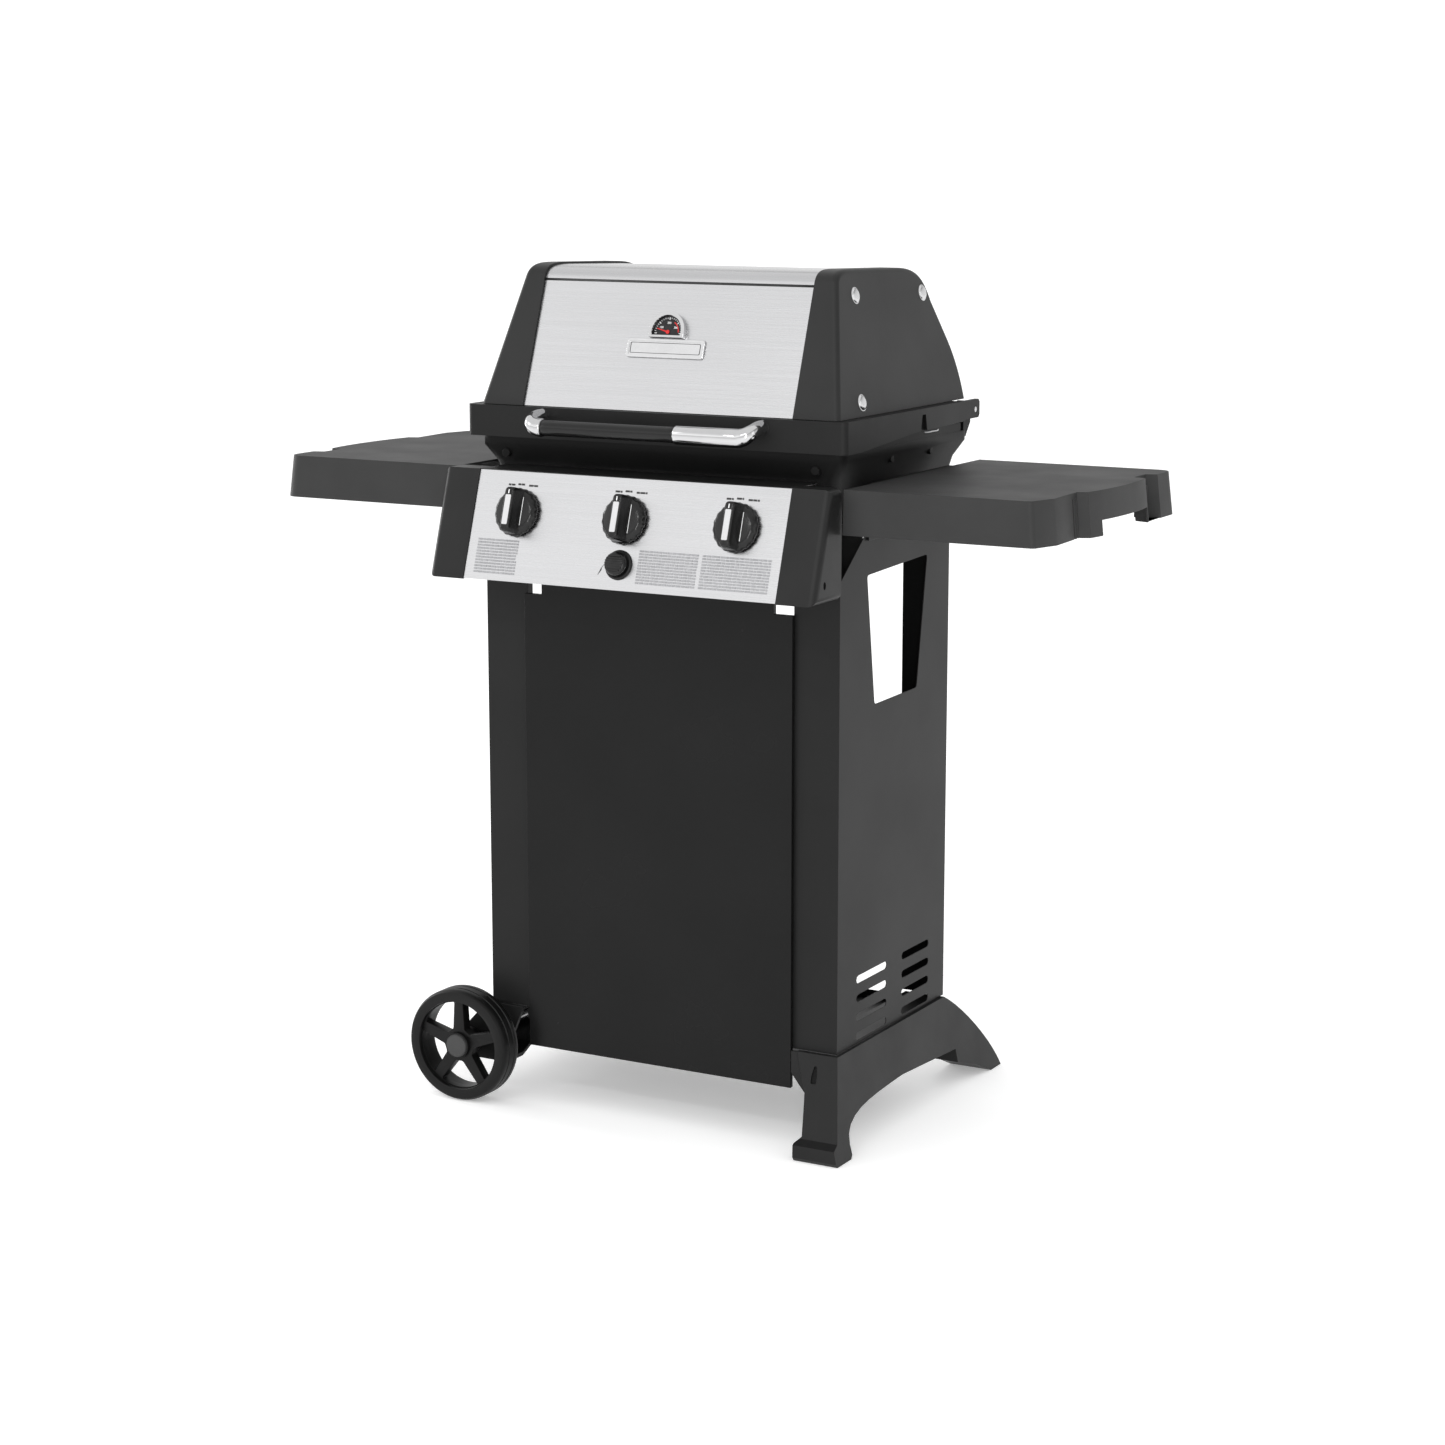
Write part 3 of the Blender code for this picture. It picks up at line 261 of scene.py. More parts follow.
def brushed(name, dark, light, roughness, along="X"):
    """Steel brushed along one axis: long fine lines in colour, gloss and relief."""
    tint = 0.015
    stretch = {"X": (4, 900, 900), "Y": (900, 4, 900)}[along]
    finish = Finish(name, Metallic=1.0, Anisotropic=0.35)
    lines = finish.noise(1.0, stretch, detail=4.0, roughness=0.65)
    cloud = finish.noise(2.5, detail=2.0)
    finish.tones(lines, grey(dark, tint), grey(light, tint))
    wide = finish.between(cloud, roughness - 0.02, roughness + 0.03)
    fine = finish.between(lines, -0.03, 0.04)
    total = finish.tree.nodes.new("ShaderNodeMath")
    total.operation = "ADD"
    finish.tree.links.new(wide, total.inputs[0])
    finish.tree.links.new(fine, total.inputs[1])
    finish.feed("Roughness", total.outputs["Value"])
    return finish.bump([(lines, 0.00002)], 0.25).material


def polished(name, value, roughness):
    """Plated metal with faint wiping marks in the gloss."""
    finish = Finish(name, Metallic=1.0)
    smear = finish.noise(40.0, (1, 3, 1), detail=4.0)
    finish.tones(smear, grey(value, 0.01), grey(value * 1.05, 0.01))
    finish.feed("Roughness", finish.between(smear, roughness, roughness + 0.06))
    return finish.bump([(finish.noise(25.0), 0.00003)], 0.15).material


def iron():
    """Seasoned cast iron: coarse grain with oily, slightly brown patches."""
    finish = Finish("cast_iron", Specular_IOR_Level=0.45)
    cloud = finish.noise(22.0, detail=6.0)
    finish.tones(cloud, (0.016, 0.014, 0.013), (0.036, 0.031, 0.028))
    finish.feed("Roughness", finish.between(cloud, 0.45, 0.75))
    return finish.bump([(finish.noise(500.0, detail=5.0), 0.00025)], 0.5).material


def coloured_metal(name, dark, light, roughness):
    finish = Finish(name, Metallic=1.0)
    cloud = finish.noise(30.0, detail=4.0)
    finish.tones(cloud, dark, light)
    finish.feed("Roughness", finish.between(cloud, roughness, roughness + 0.12))
    return finish.bump([(finish.noise(700.0, (1, 1, 0.1)), 0.00003)], 0.3).material


def mark_finish(name, colour, roughness=0.5):
    """Printed or enamelled marks, and painted shade and highlights, slightly uneven as print is."""
    finish = Finish(name, Specular_IOR_Level=0.3)
    cloud = finish.noise(180.0, detail=3.0)
    paler = tuple(min(c * 1.25 + 0.004, 1.0) for c in colour)
    finish.tones(cloud, colour, paler, 0.35, 0.75)
    finish.feed("Roughness", finish.between(cloud, roughness - 0.05, roughness + 0.08))
    return finish.bump([(cloud, 0.00002)], 0.2).material


LOOKS = {
    "black_paint": painted("black_paint", 0.005, 0.007, 0.24, 0.15),
    "grey_paint": painted("grey_paint", 0.009, 0.012, 0.42, 0.16),
    "black_resin": moulded("black_resin", 0.006, 0.010, 0.44, 0.24),
    "shelf_resin": moulded("shelf_resin", 0.026, 0.033, 0.52, 0.20),
    "cast_black": cast_coat("cast_black", 0.012, 0.018, 0.26),
    "stainless": brushed("stainless", 0.49, 0.52, 0.26),
    "chrome": polished("chrome", 0.54, 0.06),
    "zinc": brushed("zinc", 0.50, 0.62, 0.32, "Y"),
    "cast_iron": iron(),
    "brass": coloured_metal("brass", (0.50, 0.36, 0.14), (0.66, 0.50, 0.22), 0.28),
    "burner_steel": coloured_metal("burner_steel", (0.36, 0.31, 0.26), (0.50, 0.47, 0.44), 0.30),
    "dial_black": mark_finish("dial_black", (0.008, 0.008, 0.009), 0.30),
    "needle_red": mark_finish("needle_red", (0.55, 0.02, 0.02), 0.35),
}
# A darker copy of the cast black for the tub: painted shade under the lid band's overhang.
TUB_SHADE_BLACK = cast_coat("tub_shade_black", 0.004, 0.007, 0.14)
WHEEL_BLACK = moulded("wheel_black", 0.003, 0.006, 0.42, 0.20)
HUB_GREY = moulded("hub_grey", 0.045, 0.055, 0.50, 0.25)
BAND_BLACK = cast_coat("band_black", 0.006, 0.010, 0.20)
GLOSS_RESIN = moulded("gloss_resin", 0.004, 0.007, 0.20, 0.34)
SATIN_PLATE = polished("satin_plate", 0.58, 0.20)
# White print, also used for the painted highlight along the knob bars.
WHITE_INK_AND_HIGHLIGHT = mark_finish("white_ink_and_highlight", (0.75, 0.75, 0.75))
GREY_INK = mark_finish("grey_ink", (0.28, 0.28, 0.29))
# Dark print, also used for painted shade in the lid's crease and in the burner ports.
DARK_INK_AND_SHADE = mark_finish("dark_ink_and_shade", (0.03, 0.03, 0.03))
# Near black: painted shade on the keyhole's floor.
KEYHOLE_SHADE = mark_finish("keyhole_shade", (0.0005, 0.0005, 0.0005), 0.85)


# ---------------------------------------------------------------- mesh helpers
WELD = 0.00002               # points nearer than this become one
FINE_WELD = 0.00001
OUTLINE_WELD = 0.000005


def add(mesh, name):
    mesh.name = name
    piece = bpy.data.objects.new(name, mesh)
    link(piece)
    return piece


def evaluated(thing):
    """The mesh that an object shows, with its modifiers applied."""
    bpy.context.view_layer.update()
    graph = bpy.context.evaluated_depsgraph_get()
    return bpy.data.meshes.new_from_object(thing.evaluated_get(graph))


def curve_mesh(curve):
    """The mesh that a curve or a text shows."""
    source = bpy.data.objects.new(curve.name, curve)
    link(source)
    mesh = evaluated(source)
    bpy.data.objects.remove(source, do_unlink=True)
    return mesh


def settle(piece):
    """Apply a piece's modifiers to its mesh."""
    mesh = evaluated(piece)
    piece.modifiers.clear()
    piece.data = mesh
    return piece


def shade(piece, angle=32):
    piece.data.shade_smooth()
    piece.data.set_sharp_from_angle(angle=radians(angle))
    return piece


def dress(piece, body, slot, replaced=(), look=None):
    """Give a piece its finish, the slot's own unless a look is given, and its body, and hide the CAD nodes that it
    stands for.
    """
    piece.data.materials.clear()
    piece.data.materials.append(look or LOOKS[slot])
    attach(piece, body)
    if replaced:
        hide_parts(*replaced)
        done.update(replaced)
    return piece


def finished(piece, angle=35):
    """Weld and shade so that flat faces stay flat beside rounded edges."""
    shape = bmesh.new()
    shape.from_mesh(piece.data)
    bmesh.ops.remove_doubles(shape, verts=shape.verts, dist=FINE_WELD)
    shape.to_mesh(piece.data)
    shape.free()
    shade(piece, angle)
    normals = piece.modifiers.new("normals", "WEIGHTED_NORMAL")
    normals.keep_sharp = True
    normals.weight = 100
    return piece


def round_edges(piece, chosen, width, segments):
    """Round the edges of a piece whose two ends pass a test."""
    shape = bmesh.new()
    shape.from_mesh(piece.data)
    bmesh.ops.dissolve_limit(shape, angle_limit=radians(0.5), verts=shape.verts,
                             edges=shape.edges)
    edges = [e for e in shape.edges if chosen(e.verts[0].co, e.verts[1].co)]
    bmesh.ops.bevel(shape, geom=edges, offset=width, segments=segments, profile=0.5,
                    affect="EDGES", clamp_overlap=True)
    shape.to_mesh(piece.data)
    shape.free()
    return shade(piece)


def low(node):
    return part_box(node)[0]


def high(node):
    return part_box(node)[1]


def x_reach(node):
    """How far from the middle plane a node starts and stops."""
    return sorted((abs(low(node).x), abs(high(node).x)))


def soften(piece, width, segments=2, angle=28):
    """Weld, merge flat faces and round every edge that is sharper than an angle."""
    shape = bmesh.new()
    shape.from_mesh(piece.data)
    bmesh.ops.remove_doubles(shape, verts=shape.verts, dist=WELD)
    bmesh.ops.dissolve_limit(shape, angle_limit=radians(0.6), verts=shape.verts,
                             edges=shape.edges)
    edges = [e for e in shape.edges if len(e.link_faces) == 2
             and e.calc_face_angle(0.0) > radians(angle)]
    if width:
        bmesh.ops.bevel(shape, geom=edges, offset=width, segments=segments, profile=0.5,
                        affect="EDGES", clamp_overlap=True)
    shape.to_mesh(piece.data)
    shape.free()
    return shade(piece)


def combine(piece, other, operation="DIFFERENCE"):
    """Cut, join or intersect at once, and remove the other shape."""
    modifier = piece.modifiers.new("combine", "BOOLEAN")
    modifier.operation = operation
    modifier.object = other
    modifier.solver = "EXACT"
    settle(piece)
    bpy.data.objects.remove(other, do_unlink=True)
    return piece


TURNS = {
    "X": Matrix(((0, 0, 1, 0), (1, 0, 0, 0), (0, 1, 0, 0), (0, 0, 0, 1))),
    "Y": Matrix(((1, 0, 0, 0), (0, 0, -1, 0), (0, 1, 0, 0), (0, 0, 0, 1))),
    "Z": Matrix.Identity(4),
}


def prism(name, loops, low, high, axis):
    """A flat outline, with holes for further loops, from low to high along an axis."""
    curve = bpy.data.curves.new(name, "CURVE")
    curve.dimensions = "2D"
    curve.fill_mode = "BOTH"
    curve.extrude = (high - low) / 2
    for loop in loops:
        spline = curve.splines.new("POLY")
        spline.points.add(len(loop) - 1)
        spline.use_cyclic_u = True
        for point, (u, v) in zip(spline.points, loop):
            point.co = (u, v, 0.0, 1.0)
    mesh = curve_mesh(curve)
    middle = (low + high) / 2
    shift = {"X": (middle, 0, 0), "Y": (0, middle, 0), "Z": (0, 0, middle)}[axis]
    mesh.transform(Matrix.Translation(shift) @ TURNS[axis])
    shape = bmesh.new()
    shape.from_mesh(mesh)
    bmesh.ops.remove_doubles(shape, verts=shape.verts, dist=OUTLINE_WELD)
    bmesh.ops.recalc_face_normals(shape, faces=shape.faces)
    shape.to_mesh(mesh)
    shape.free()
    return add(mesh, name)


def turned(name, profile, steps=64):
    """A profile of (radius, height) points turned about Z."""
    mesh = bpy.data.meshes.new(name)
    points = [(radius, 0.0, height) for radius, height in profile]
    mesh.from_pydata(points, [(i, i + 1) for i in range(len(points) - 1)], [])
    piece = add(mesh, name)
    screw = piece.modifiers.new("turn", "SCREW")
    screw.steps = steps
    screw.render_steps = steps
    screw.use_merge_vertices = True
    screw.merge_threshold = WELD
    settle(piece)
    shape = bmesh.new()
    shape.from_mesh(piece.data)
    bmesh.ops.recalc_face_normals(shape, faces=shape.faces)
    shape.to_mesh(piece.data)
    shape.free()
    return shade(piece)


def ring_stack(name, rings):
    """A skin through rings of equal point counts, with caps on the first and last ring."""
    shape = bmesh.new()
    rows = [[shape.verts.new(point) for point in ring] for ring in rings]
    count = len(rows[0])
    for upper, lower in zip(rows, rows[1:]):
        for i in range(count):
            j = (i + 1) % count
            shape.faces.new((lower[i], lower[j], upper[j], upper[i]))
    shape.faces.new(rows[0])
    shape.faces.new(rows[-1][::-1])
    bmesh.ops.recalc_face_normals(shape, faces=shape.faces)
    mesh = bpy.data.meshes.new(name)
    shape.to_mesh(mesh)
    shape.free()
    return shade(add(mesh, name))


def swept(name, route, radii, sides):
    """A round bar that follows a route, with its own radius at each point."""
    points = [Vector(p) for p in route]
    rings = []
    normal = Vector((0, 0, 1))
    for i, point in enumerate(points):
        along = (points[min(i + 1, len(points) - 1)] - points[max(i - 1, 0)]).normalized()
        normal = (normal - along * normal.dot(along)).normalized()
        side = along.cross(normal)
        rings.append([point + (normal * cos(a) + side * sin(a)) * radii[i]
                      for a in (2 * pi * k / sides for k in range(sides))])
    return ring_stack(name, rings)


def cylinder(name, radius, low, high, centre=(0.0, 0.0), axis="Z", sides=48):
    loop = [(centre[0] + radius * cos(2 * pi * k / sides),
             centre[1] + radius * sin(2 * pi * k / sides)) for k in range(sides)]
    return prism(name, [loop], low, high, axis)


def merged(name, pieces):
    """Several closed shapes as one piece, left as they are."""
    shape = bmesh.new()
    for piece in pieces:
        piece.data.transform(piece.matrix_world)
        shape.from_mesh(piece.data)
    mesh = bpy.data.meshes.new(name)
    shape.to_mesh(mesh)
    shape.free()
    for piece in pieces:
        bpy.data.objects.remove(piece, do_unlink=True)
    return add(mesh, name)


def moved(piece, matrix):
    piece.data.transform(matrix)
    return piece


def reshape(piece, rule):
    for vertex in piece.data.vertices:
        vertex.co = rule(*vertex.co)
    return piece


# ---------------------------------------------------------------- outlines
def arc(centre, radius, start, stop, steps):
    angles = [radians(start + (stop - start) * i / steps) for i in range(steps + 1)]
    return [(centre[0] + radius * cos(a), centre[1] + radius * sin(a)) for a in angles]


def bezier(p0, p1, p2, p3, steps):
    points = []
    for i in range(steps + 1):
        t = i / steps
        weights = ((1 - t) ** 3, 3 * t * (1 - t) ** 2, 3 * t * t * (1 - t), t ** 3)
        points.append(tuple(sum(w * p[k] for w, p in zip(weights, (p0, p1, p2, p3)))
                            for k in (0, 1)))
    return points


def rounded(corners, radius, steps=8):
    points = []
    for i, corner in enumerate(corners):
        here = Vector(corner)
        before = (Vector(corners[i - 1]) - here).normalized() * radius
        after = (Vector(corners[(i + 1) % len(corners)]) - here).normalized() * radius
        for k in range(steps + 1):
            t = k / steps
            points.append(tuple(here + before * (1 - t) ** 2 + after * t * t))
    return points


def rectangle(x0, y0, x1, y1):
    return [(x0, y0), (x1, y0), (x1, y1), (x0, y1)]


def span(side, inner, outer):
    return sorted((side * inner, side * outer))


# ---------------------------------------------------------------- carried-over nodes
CARRIED_ROUNDING = 0.0006


def carry(node, width=CARRIED_ROUNDING):
    """A CAD node's own shape with its edges rounded."""
    piece = add(frame["nodes"][node].data.copy(), node + "_finish")
    soften(piece, width)
    done.add(node)
    return dress(finished(piece), BODY_OF[node], SLOT_OF[node], [node])


ROUNDING = {
    "side_panel_left": 0.0004, "side_panel_right": 0.0004, "front_panel": 0.0005,
    "front_rail": 0.0008, "rear_rail": 0.0015, "bottle_tray": 0.0005, "tray_rails": 0.0004,
    "warming_rack": 0.0008, "axle": 0.0005, "drip_tray": 0.0005, "heat_tent": 0.0003,
    "cooking_grid_left": 0.0012, "cooking_grid_right": 0.0012,
}


def carry_the_rest():
    """Every other node keeps its CAD shape, with its edges rounded."""
    for node in sorted(set(frame["nodes"]) - done):
        carry(node, ROUNDING.get(node, CARRIED_ROUNDING))


# ---------------------------------------------------------------- frames of the two sloping faces
def face_frame(joint_name, outward):
    """Z out of the face that a joint stands on, Y up the face, origin on the joint."""
    joint = JOINTS[joint_name]
    normal = Vector(joint["axis"]) * outward
    turn = Matrix.Rotation(atan2(-normal.y, normal.z), 4, "X")
    return Matrix.Translation(joint["pos_m"]) @ turn


CONSOLE = face_frame("knob_turn_centre", 1)      # origin on the middle knob
LID_FACE = face_frame("needle_turn", -1)         # origin on the thermometer


def marks(name, loops, low_z, place, body, slot, look):
    """Flat shapes just above a face: print, and the knobs' painted highlights."""
    pieces = [prism(name, [loop], low_z, low_z + SKIN, "Z") for loop in loops]
    piece = moved(merged(name, pieces), place)
    return dress(piece, body, slot, look=look)


# ---------------------------------------------------------------- console
KNOB_LOW = 0.004             # of the skirt above the console face
KNOB_HIGH = 0.031
BAR_FOOT = 0.0125            # half width of a knob's grip bar where it meets the skirt
BAR_HEAD = 0.0068
SCALLOPS = 18
IGNITER_DROP = -0.0594       # of the igniter down the console from the middle knob


def knob_skirt():
    """A turned disc with shallow scallops round its rim."""
    skirt = turned("knob_skirt", [
        (0.0, 0.0140), (0.0240, 0.0142), (0.0262, 0.0136), (0.0285, 0.0122), (0.0305, 0.0098),
        (0.0325, 0.0070), (0.0330, 0.0055), (0.0328, KNOB_LOW + 0.0004), (0.0320, KNOB_LOW),
        (0.0, KNOB_LOW)], 144)

    def scalloped(x, y, z):
        radius = (x * x + y * y) ** 0.5
        depth = 0.0011 * max(0.0, (radius - 0.0262) / 0.0068)
        shrink = 1 - depth * (0.5 + 0.5 * cos(SCALLOPS * atan2(y, x))) / max(radius, 0.001)
        return (x * shrink, y * shrink, z)

    return reshape(skirt, scalloped)


def knob_bar():
    """A grip bar that narrows as it rises."""
    rings = []
    for height, half_x, half_y in ((0.0120, BAR_FOOT, 0.0308), (0.0160, 0.0112, 0.0305),
                                   (0.0240, 0.0084, 0.0300), (0.0292, BAR_HEAD, 0.0292),
                                   (0.0306, 0.0061, 0.0284), (KNOB_HIGH, 0.0052, 0.0272)):
        outline = rounded(rectangle(-half_x, -half_y, half_x, half_y), min(half_x, 0.006), 7)
        rings.append([Vector((x, y, height)) for x, y in outline])
    return ring_stack("knob_bar", rings)


def knob_marks(label, place):
    """A satin inlay and a white pointer on the bar, and along one side of its foot a white line that is a painted
    highlight.
    """
    top = KNOB_HIGH - SKIN / 2
    inlay = rounded(rectangle(-0.0042, -0.0215, 0.0042, 0.0185), 0.0016, 4)
    # Painted highlight: a thin white strip on one side of the bar's foot.
    foot = rounded(rectangle(BAR_FOOT + 0.0004, -0.0190, BAR_FOOT + 0.0012, 0.0190), 0.0003, 2)
    pointer = rounded(rectangle(-0.0007, 0.0200, 0.0007, 0.0255), 0.0005, 3)
    for mark, outline, low_z, look in (("inlay", inlay, top, SATIN_PLATE),
                                       ("foot_highlight", foot, 0.0142, WHITE_INK_AND_HIGHLIGHT),
                                       ("pointer", pointer, top, WHITE_INK_AND_HIGHLIGHT)):
        marks("knob_%s_%s" % (label, mark), [outline], low_z, place, "knob_" + label,
              "black_resin", look)


def knob(label):
    """A scalloped skirt, a tapered grip bar and their marks."""
    place = face_frame("knob_turn_" + label, 1)
    piece = moved(merged("knob_%s_body" % label, [knob_skirt(), knob_bar()]), place)
    dress(shade(piece, 40), "knob_" + label, "black_resin", ["knob_" + label], GLOSS_RESIN)
    knob_marks(label, place)


def igniter():
    """A ribbed push button in its round housing, with a spark mark beside it."""
    place = CONSOLE @ Matrix.Translation((0.0, IGNITER_DROP, 0.0))
    housing = turned("igniter_collar", [
        (0.0160, 0.0004), (0.0160, 0.0030), (0.0176, 0.0034), (0.0192, 0.0026), (0.0200, 0.0012),
        (0.0200, 0.0003), (0.0125, 0.0003), (0.0125, -0.0280), (0.0080, -0.0280),
        (0.0080, 0.0004), (0.0160, 0.0004)], 64)
    dress(moved(housing, place), "cart", "black_resin", ["igniter_housing"])
    button = turned("igniter_cap", [
        (0.0, 0.0146), (0.0118, 0.0142), (0.0142, 0.0132), (0.0155, 0.0112), (0.0155, 0.0070),
        (0.0068, 0.0070), (0.0068, -0.0150), (0.0, -0.0150)], 64)
    ribs = []
    for row in range(7):
        y = 0.0032 * (row - 3)
        reach = (0.0132 ** 2 - y * y) ** 0.5
        ribs.append(prism("rib", [rectangle(-reach, y - 0.0008, reach, y + 0.0008)], 0.0125,
                          0.0156, "Z"))
    piece = moved(merged("igniter_button_body", [button] + ribs), place)
    dress(shade(piece, 35), "igniter_button", "black_resin", ["igniter_button"], GLOSS_RESIN)
    spark = [(-0.0300, -0.0150), (-0.0255, -0.0085), (-0.0268, -0.0078), (-0.0222, 0.0),
             (-0.0262, -0.0058), (-0.0248, -0.0066)]
    marks("igniter_spark", [spark], SKIN / 2, place, "cart", "stainless", DARK_INK_AND_SHADE)


def text_rows(x0, x1, top, count, pitch, seed):
    """Rows of short bars where the console carries small print, without any letters."""
    loops = []
    for row in range(count):
        y = top - pitch * row
        x = x0
        word = 0
        while x < x1 - 0.002:
            length = 0.0036 + 0.0034 * abs(sin(seed + 2.7 * row + 1.9 * word))
            stop = min(x + length, x1)
            loops.append(rectangle(x, y - 0.00125, stop, y + 0.00125))
            x = stop + 0.0011
            word += 1
    return loops


def console_print():
    """Small generic marks: rows of bars above and below the knobs."""
    loops = []
    for index, name in enumerate(KNOBS):
        x = JOINTS["knob_turn_" + name]["pos_m"][0]
        loops += text_rows(x - 0.022, x - 0.012, 0.0375, 1, 0.003, index)
        loops += text_rows(x - 0.007, x + 0.003, 0.0385, 1, 0.003, index + 3)
        loops += text_rows(x + 0.010, x + 0.026, 0.0375, 1, 0.003, index + 5)
    marks("console_scales", loops, SKIN / 2, CONSOLE, "cart", "stainless", DARK_INK_AND_SHADE)
    blocks = text_rows(-0.222, -0.158, -0.0385, 12, 0.0040, 1)
    blocks += text_rows(0.028, 0.116, -0.0390, 12, 0.0038, 2)
    blocks += text_rows(0.122, 0.222, -0.0390, 12, 0.0038, 3)
    marks("console_notes", blocks, SKIN / 2, CONSOLE, "cart", "stainless", GREY_INK)


def console_cap(label, side):
    """A moulded end cap with soft outer edges and a screw recess in its side."""
    node = "console_cap_" + label
    inner, outer = x_reach(node)
    rear = high(node).y
    top, bottom = high(node).z, low(node).z
    section = [(-0.2425, top), (rear, top), (rear, bottom), (-0.2885, bottom)]
    cap = prism(node + "_body", [section], *span(side, inner, outer), "X")
    round_edges(cap, lambda a, b: min(a.x * side, b.x * side) > outer - 0.001
                and min(a.y, b.y) < rear - 0.001, 0.010, 8)
    hollow = [(-0.2350, 0.8905), (-0.200, 0.8905), (-0.200, 0.7590), (-0.2790, 0.7590)]
    combine(cap, prism("hollow", [hollow], *span(side, inner + 0.0036, outer - 0.006), "X"))
    screw = [(-0.2590 + 0.0034 * u, 0.7770 + 0.0052 * v) for u, v in arc((0, 0), 1, 0, 345, 23)]
    combine(cap, prism("recess", [screw], *span(side, outer - 0.004, outer + 0.010), "X"))
    dress(finished(cap), "cart", "black_resin", [node])


def console():
    carry("control_panel", 0.0)
    # A thin black strip over the console's top ledge: painted shade where the firebox above shades the ledge.
    ledge = prism("console_ledge_shade_strip", [rectangle(-0.2355, -0.2395, 0.2355, -0.1720)],
                  0.8955, 0.8965, "Z")
    dress(ledge, "cart", "black_resin")
    console_print()
    for name in KNOBS:
        knob(name)
    igniter()
    for label, side in SIDES:
        console_cap(label, side)


# ---------------------------------------------------------------- wheels
SPOKES = 5


def spoke_opening(index):
    middle = 90 + 360 / SPOKES * (index + 0.5)
    outer = arc((0, 0), 0.0615, middle - 29.5, middle + 29.5, 18)
    inner = arc((0, 0), 0.0240, middle + 14, middle - 14, 4)
    corners = [outer[0]] + outer[3:-3:2] + [outer[-1]] + [inner[0], inner[-1]]
    return rounded(corners, 0.0022, 3)


def wheel(end):
    """A grooved tyre band, five bevelled spokes and a grey hub cap."""
    name = "wheel_" + end
    outward = -1 if end == "front" else 1
    place = Matrix.Translation(JOINTS[name + "_spin"]["pos_m"])
    place = place @ Matrix.Rotation(-outward * pi / 2, 4, "X")
    half = [(0.0635, 0.0190), (0.0660, 0.0197), (0.0735, 0.0200), (0.0768, 0.0192),
            (0.0785, 0.0172), (0.0798, 0.0140), (0.0800, 0.0110), (0.0800, 0.0078),
            (0.0788, 0.0070), (0.0788, 0.0056), (0.0800, 0.0048)]
    profile = half + [(radius, -height) for radius, height in reversed(half)]
    tyre = turned(name + "_tyre", profile + [(0.0612, 0.0), (0.0635, 0.0190)], 120)
    disc = arc((0, 0), 0.0665, 0, 354, 59)
    openings = [spoke_opening(index) for index in range(SPOKES)]
    spokes = soften(prism("spokes", [disc] + openings, -0.002, 0.013, "Z"), 0.0018, 3, 50)
    hub = soften(cylinder("hub", 0.0185, -0.019, 0.0190, sides=64), 0.0012, 3)
    body = moved(merged(name + "_body", [tyre, spokes, hub]), place)
    dress(shade(body, 32), name, "black_resin", [name], WHEEL_BLACK)
    cap = turned(name + "_hub_cap", [(0.0, 0.0235), (0.0080, 0.0233), (0.0130, 0.0226),
                                     (0.0156, 0.0212), (0.0165, 0.0196), (0.0165, 0.0185),
                                     (0.0, 0.0185)], 64)
    dress(moved(cap, place), name, "shelf_resin", look=HUB_GREY)


# ---------------------------------------------------------------- shelves
SHELF_MIDDLE_Y = -0.004
SHELF_WALL = 0.0035
SHELF_GROOVES = (-0.1070, -0.0970, 0.1060, 0.1170)       # their middles, along Y
SHELF_RIBS = (-0.140, -0.070, 0.0, 0.070, 0.140)
SHELF_FINGERS = (0.1120, 0.1210, 0.1300)


def shelf_outline(inner_x):
    """The right shelf from above.  The left one is the same, turned half round."""
    corner = rounded([(0.530, -0.212), (0.5520, -0.212), (0.5655, -0.170)], 0.006, 8)[9:18]
    bulge = bezier((0.575, -0.086), (0.588, -0.030), (0.590, 0.050), (0.580, 0.098), 18)
    rear = bezier((0.578, 0.180), (0.578, 0.196), (0.572, 0.204), (0.556, 0.204), 10)
    outline = [(inner_x, -0.212)] + corner + [(0.5655, -0.170), (0.562, -0.092)] + bulge
    outline += [(0.563, 0.101), (0.563, 0.140), (0.578, 0.146)] + rear + [(inner_x, 0.204)]
    return outline


def shelf_hollow(inner_x):
    """The outline moved in by the wall, and out through the open inner end."""
    hollow = []
    for x, y in shelf_outline(inner_x):
        shrunk = inner_x - 0.010 if x < inner_x + 0.001 else x - SHELF_WALL
        inward = SHELF_WALL * ((y < -0.205) - (y > 0.200))
        hollow.append((shrunk, y + inward))
    return hollow


def shelf_slab(name, points, side, bottom, top):
    placed = [(side * x, SHELF_MIDDLE_Y + side * (y - SHELF_MIDDLE_Y)) for x, y in points]
    return prism(name, [placed], bottom, top, "Z")


def shelf_tray(node, side, inner_x, bottom, top):
    """The hollow tray with a flared skirt, a relief in its outer end and blind grooves."""
    skirt = top - bottom
    under = bottom - 0.010

    def flare(x, y, z):
        depth = (top - z) / skirt
        grown = x + side * 0.0058 * depth * (abs(x) > 0.5)
        return (grown, SHELF_MIDDLE_Y + (y - SHELF_MIDDLE_Y) * (1 + 0.018 * depth), z)

    tray = reshape(shelf_slab(node + "_body", shelf_outline(inner_x), side, bottom, top), flare)
    hollow = shelf_slab("hollow", shelf_hollow(inner_x), side, under, top - SHELF_WALL)
    combine(tray, reshape(hollow, flare))
    relief = rounded(rectangle(0.500, -0.058, 0.620, 0.096), 0.012, 8)
    combine(tray, shelf_slab("relief", relief, side, under, bottom + 0.020))
    for y in SHELF_GROOVES:
        groove = rectangle(0.5604, y - 0.0022, 0.6200, y + 0.0022)
        combine(tray, reshape(shelf_slab("groove", groove, side, under, top - 0.008), flare))
    return soften(tray, 0.0022, 3, 40)


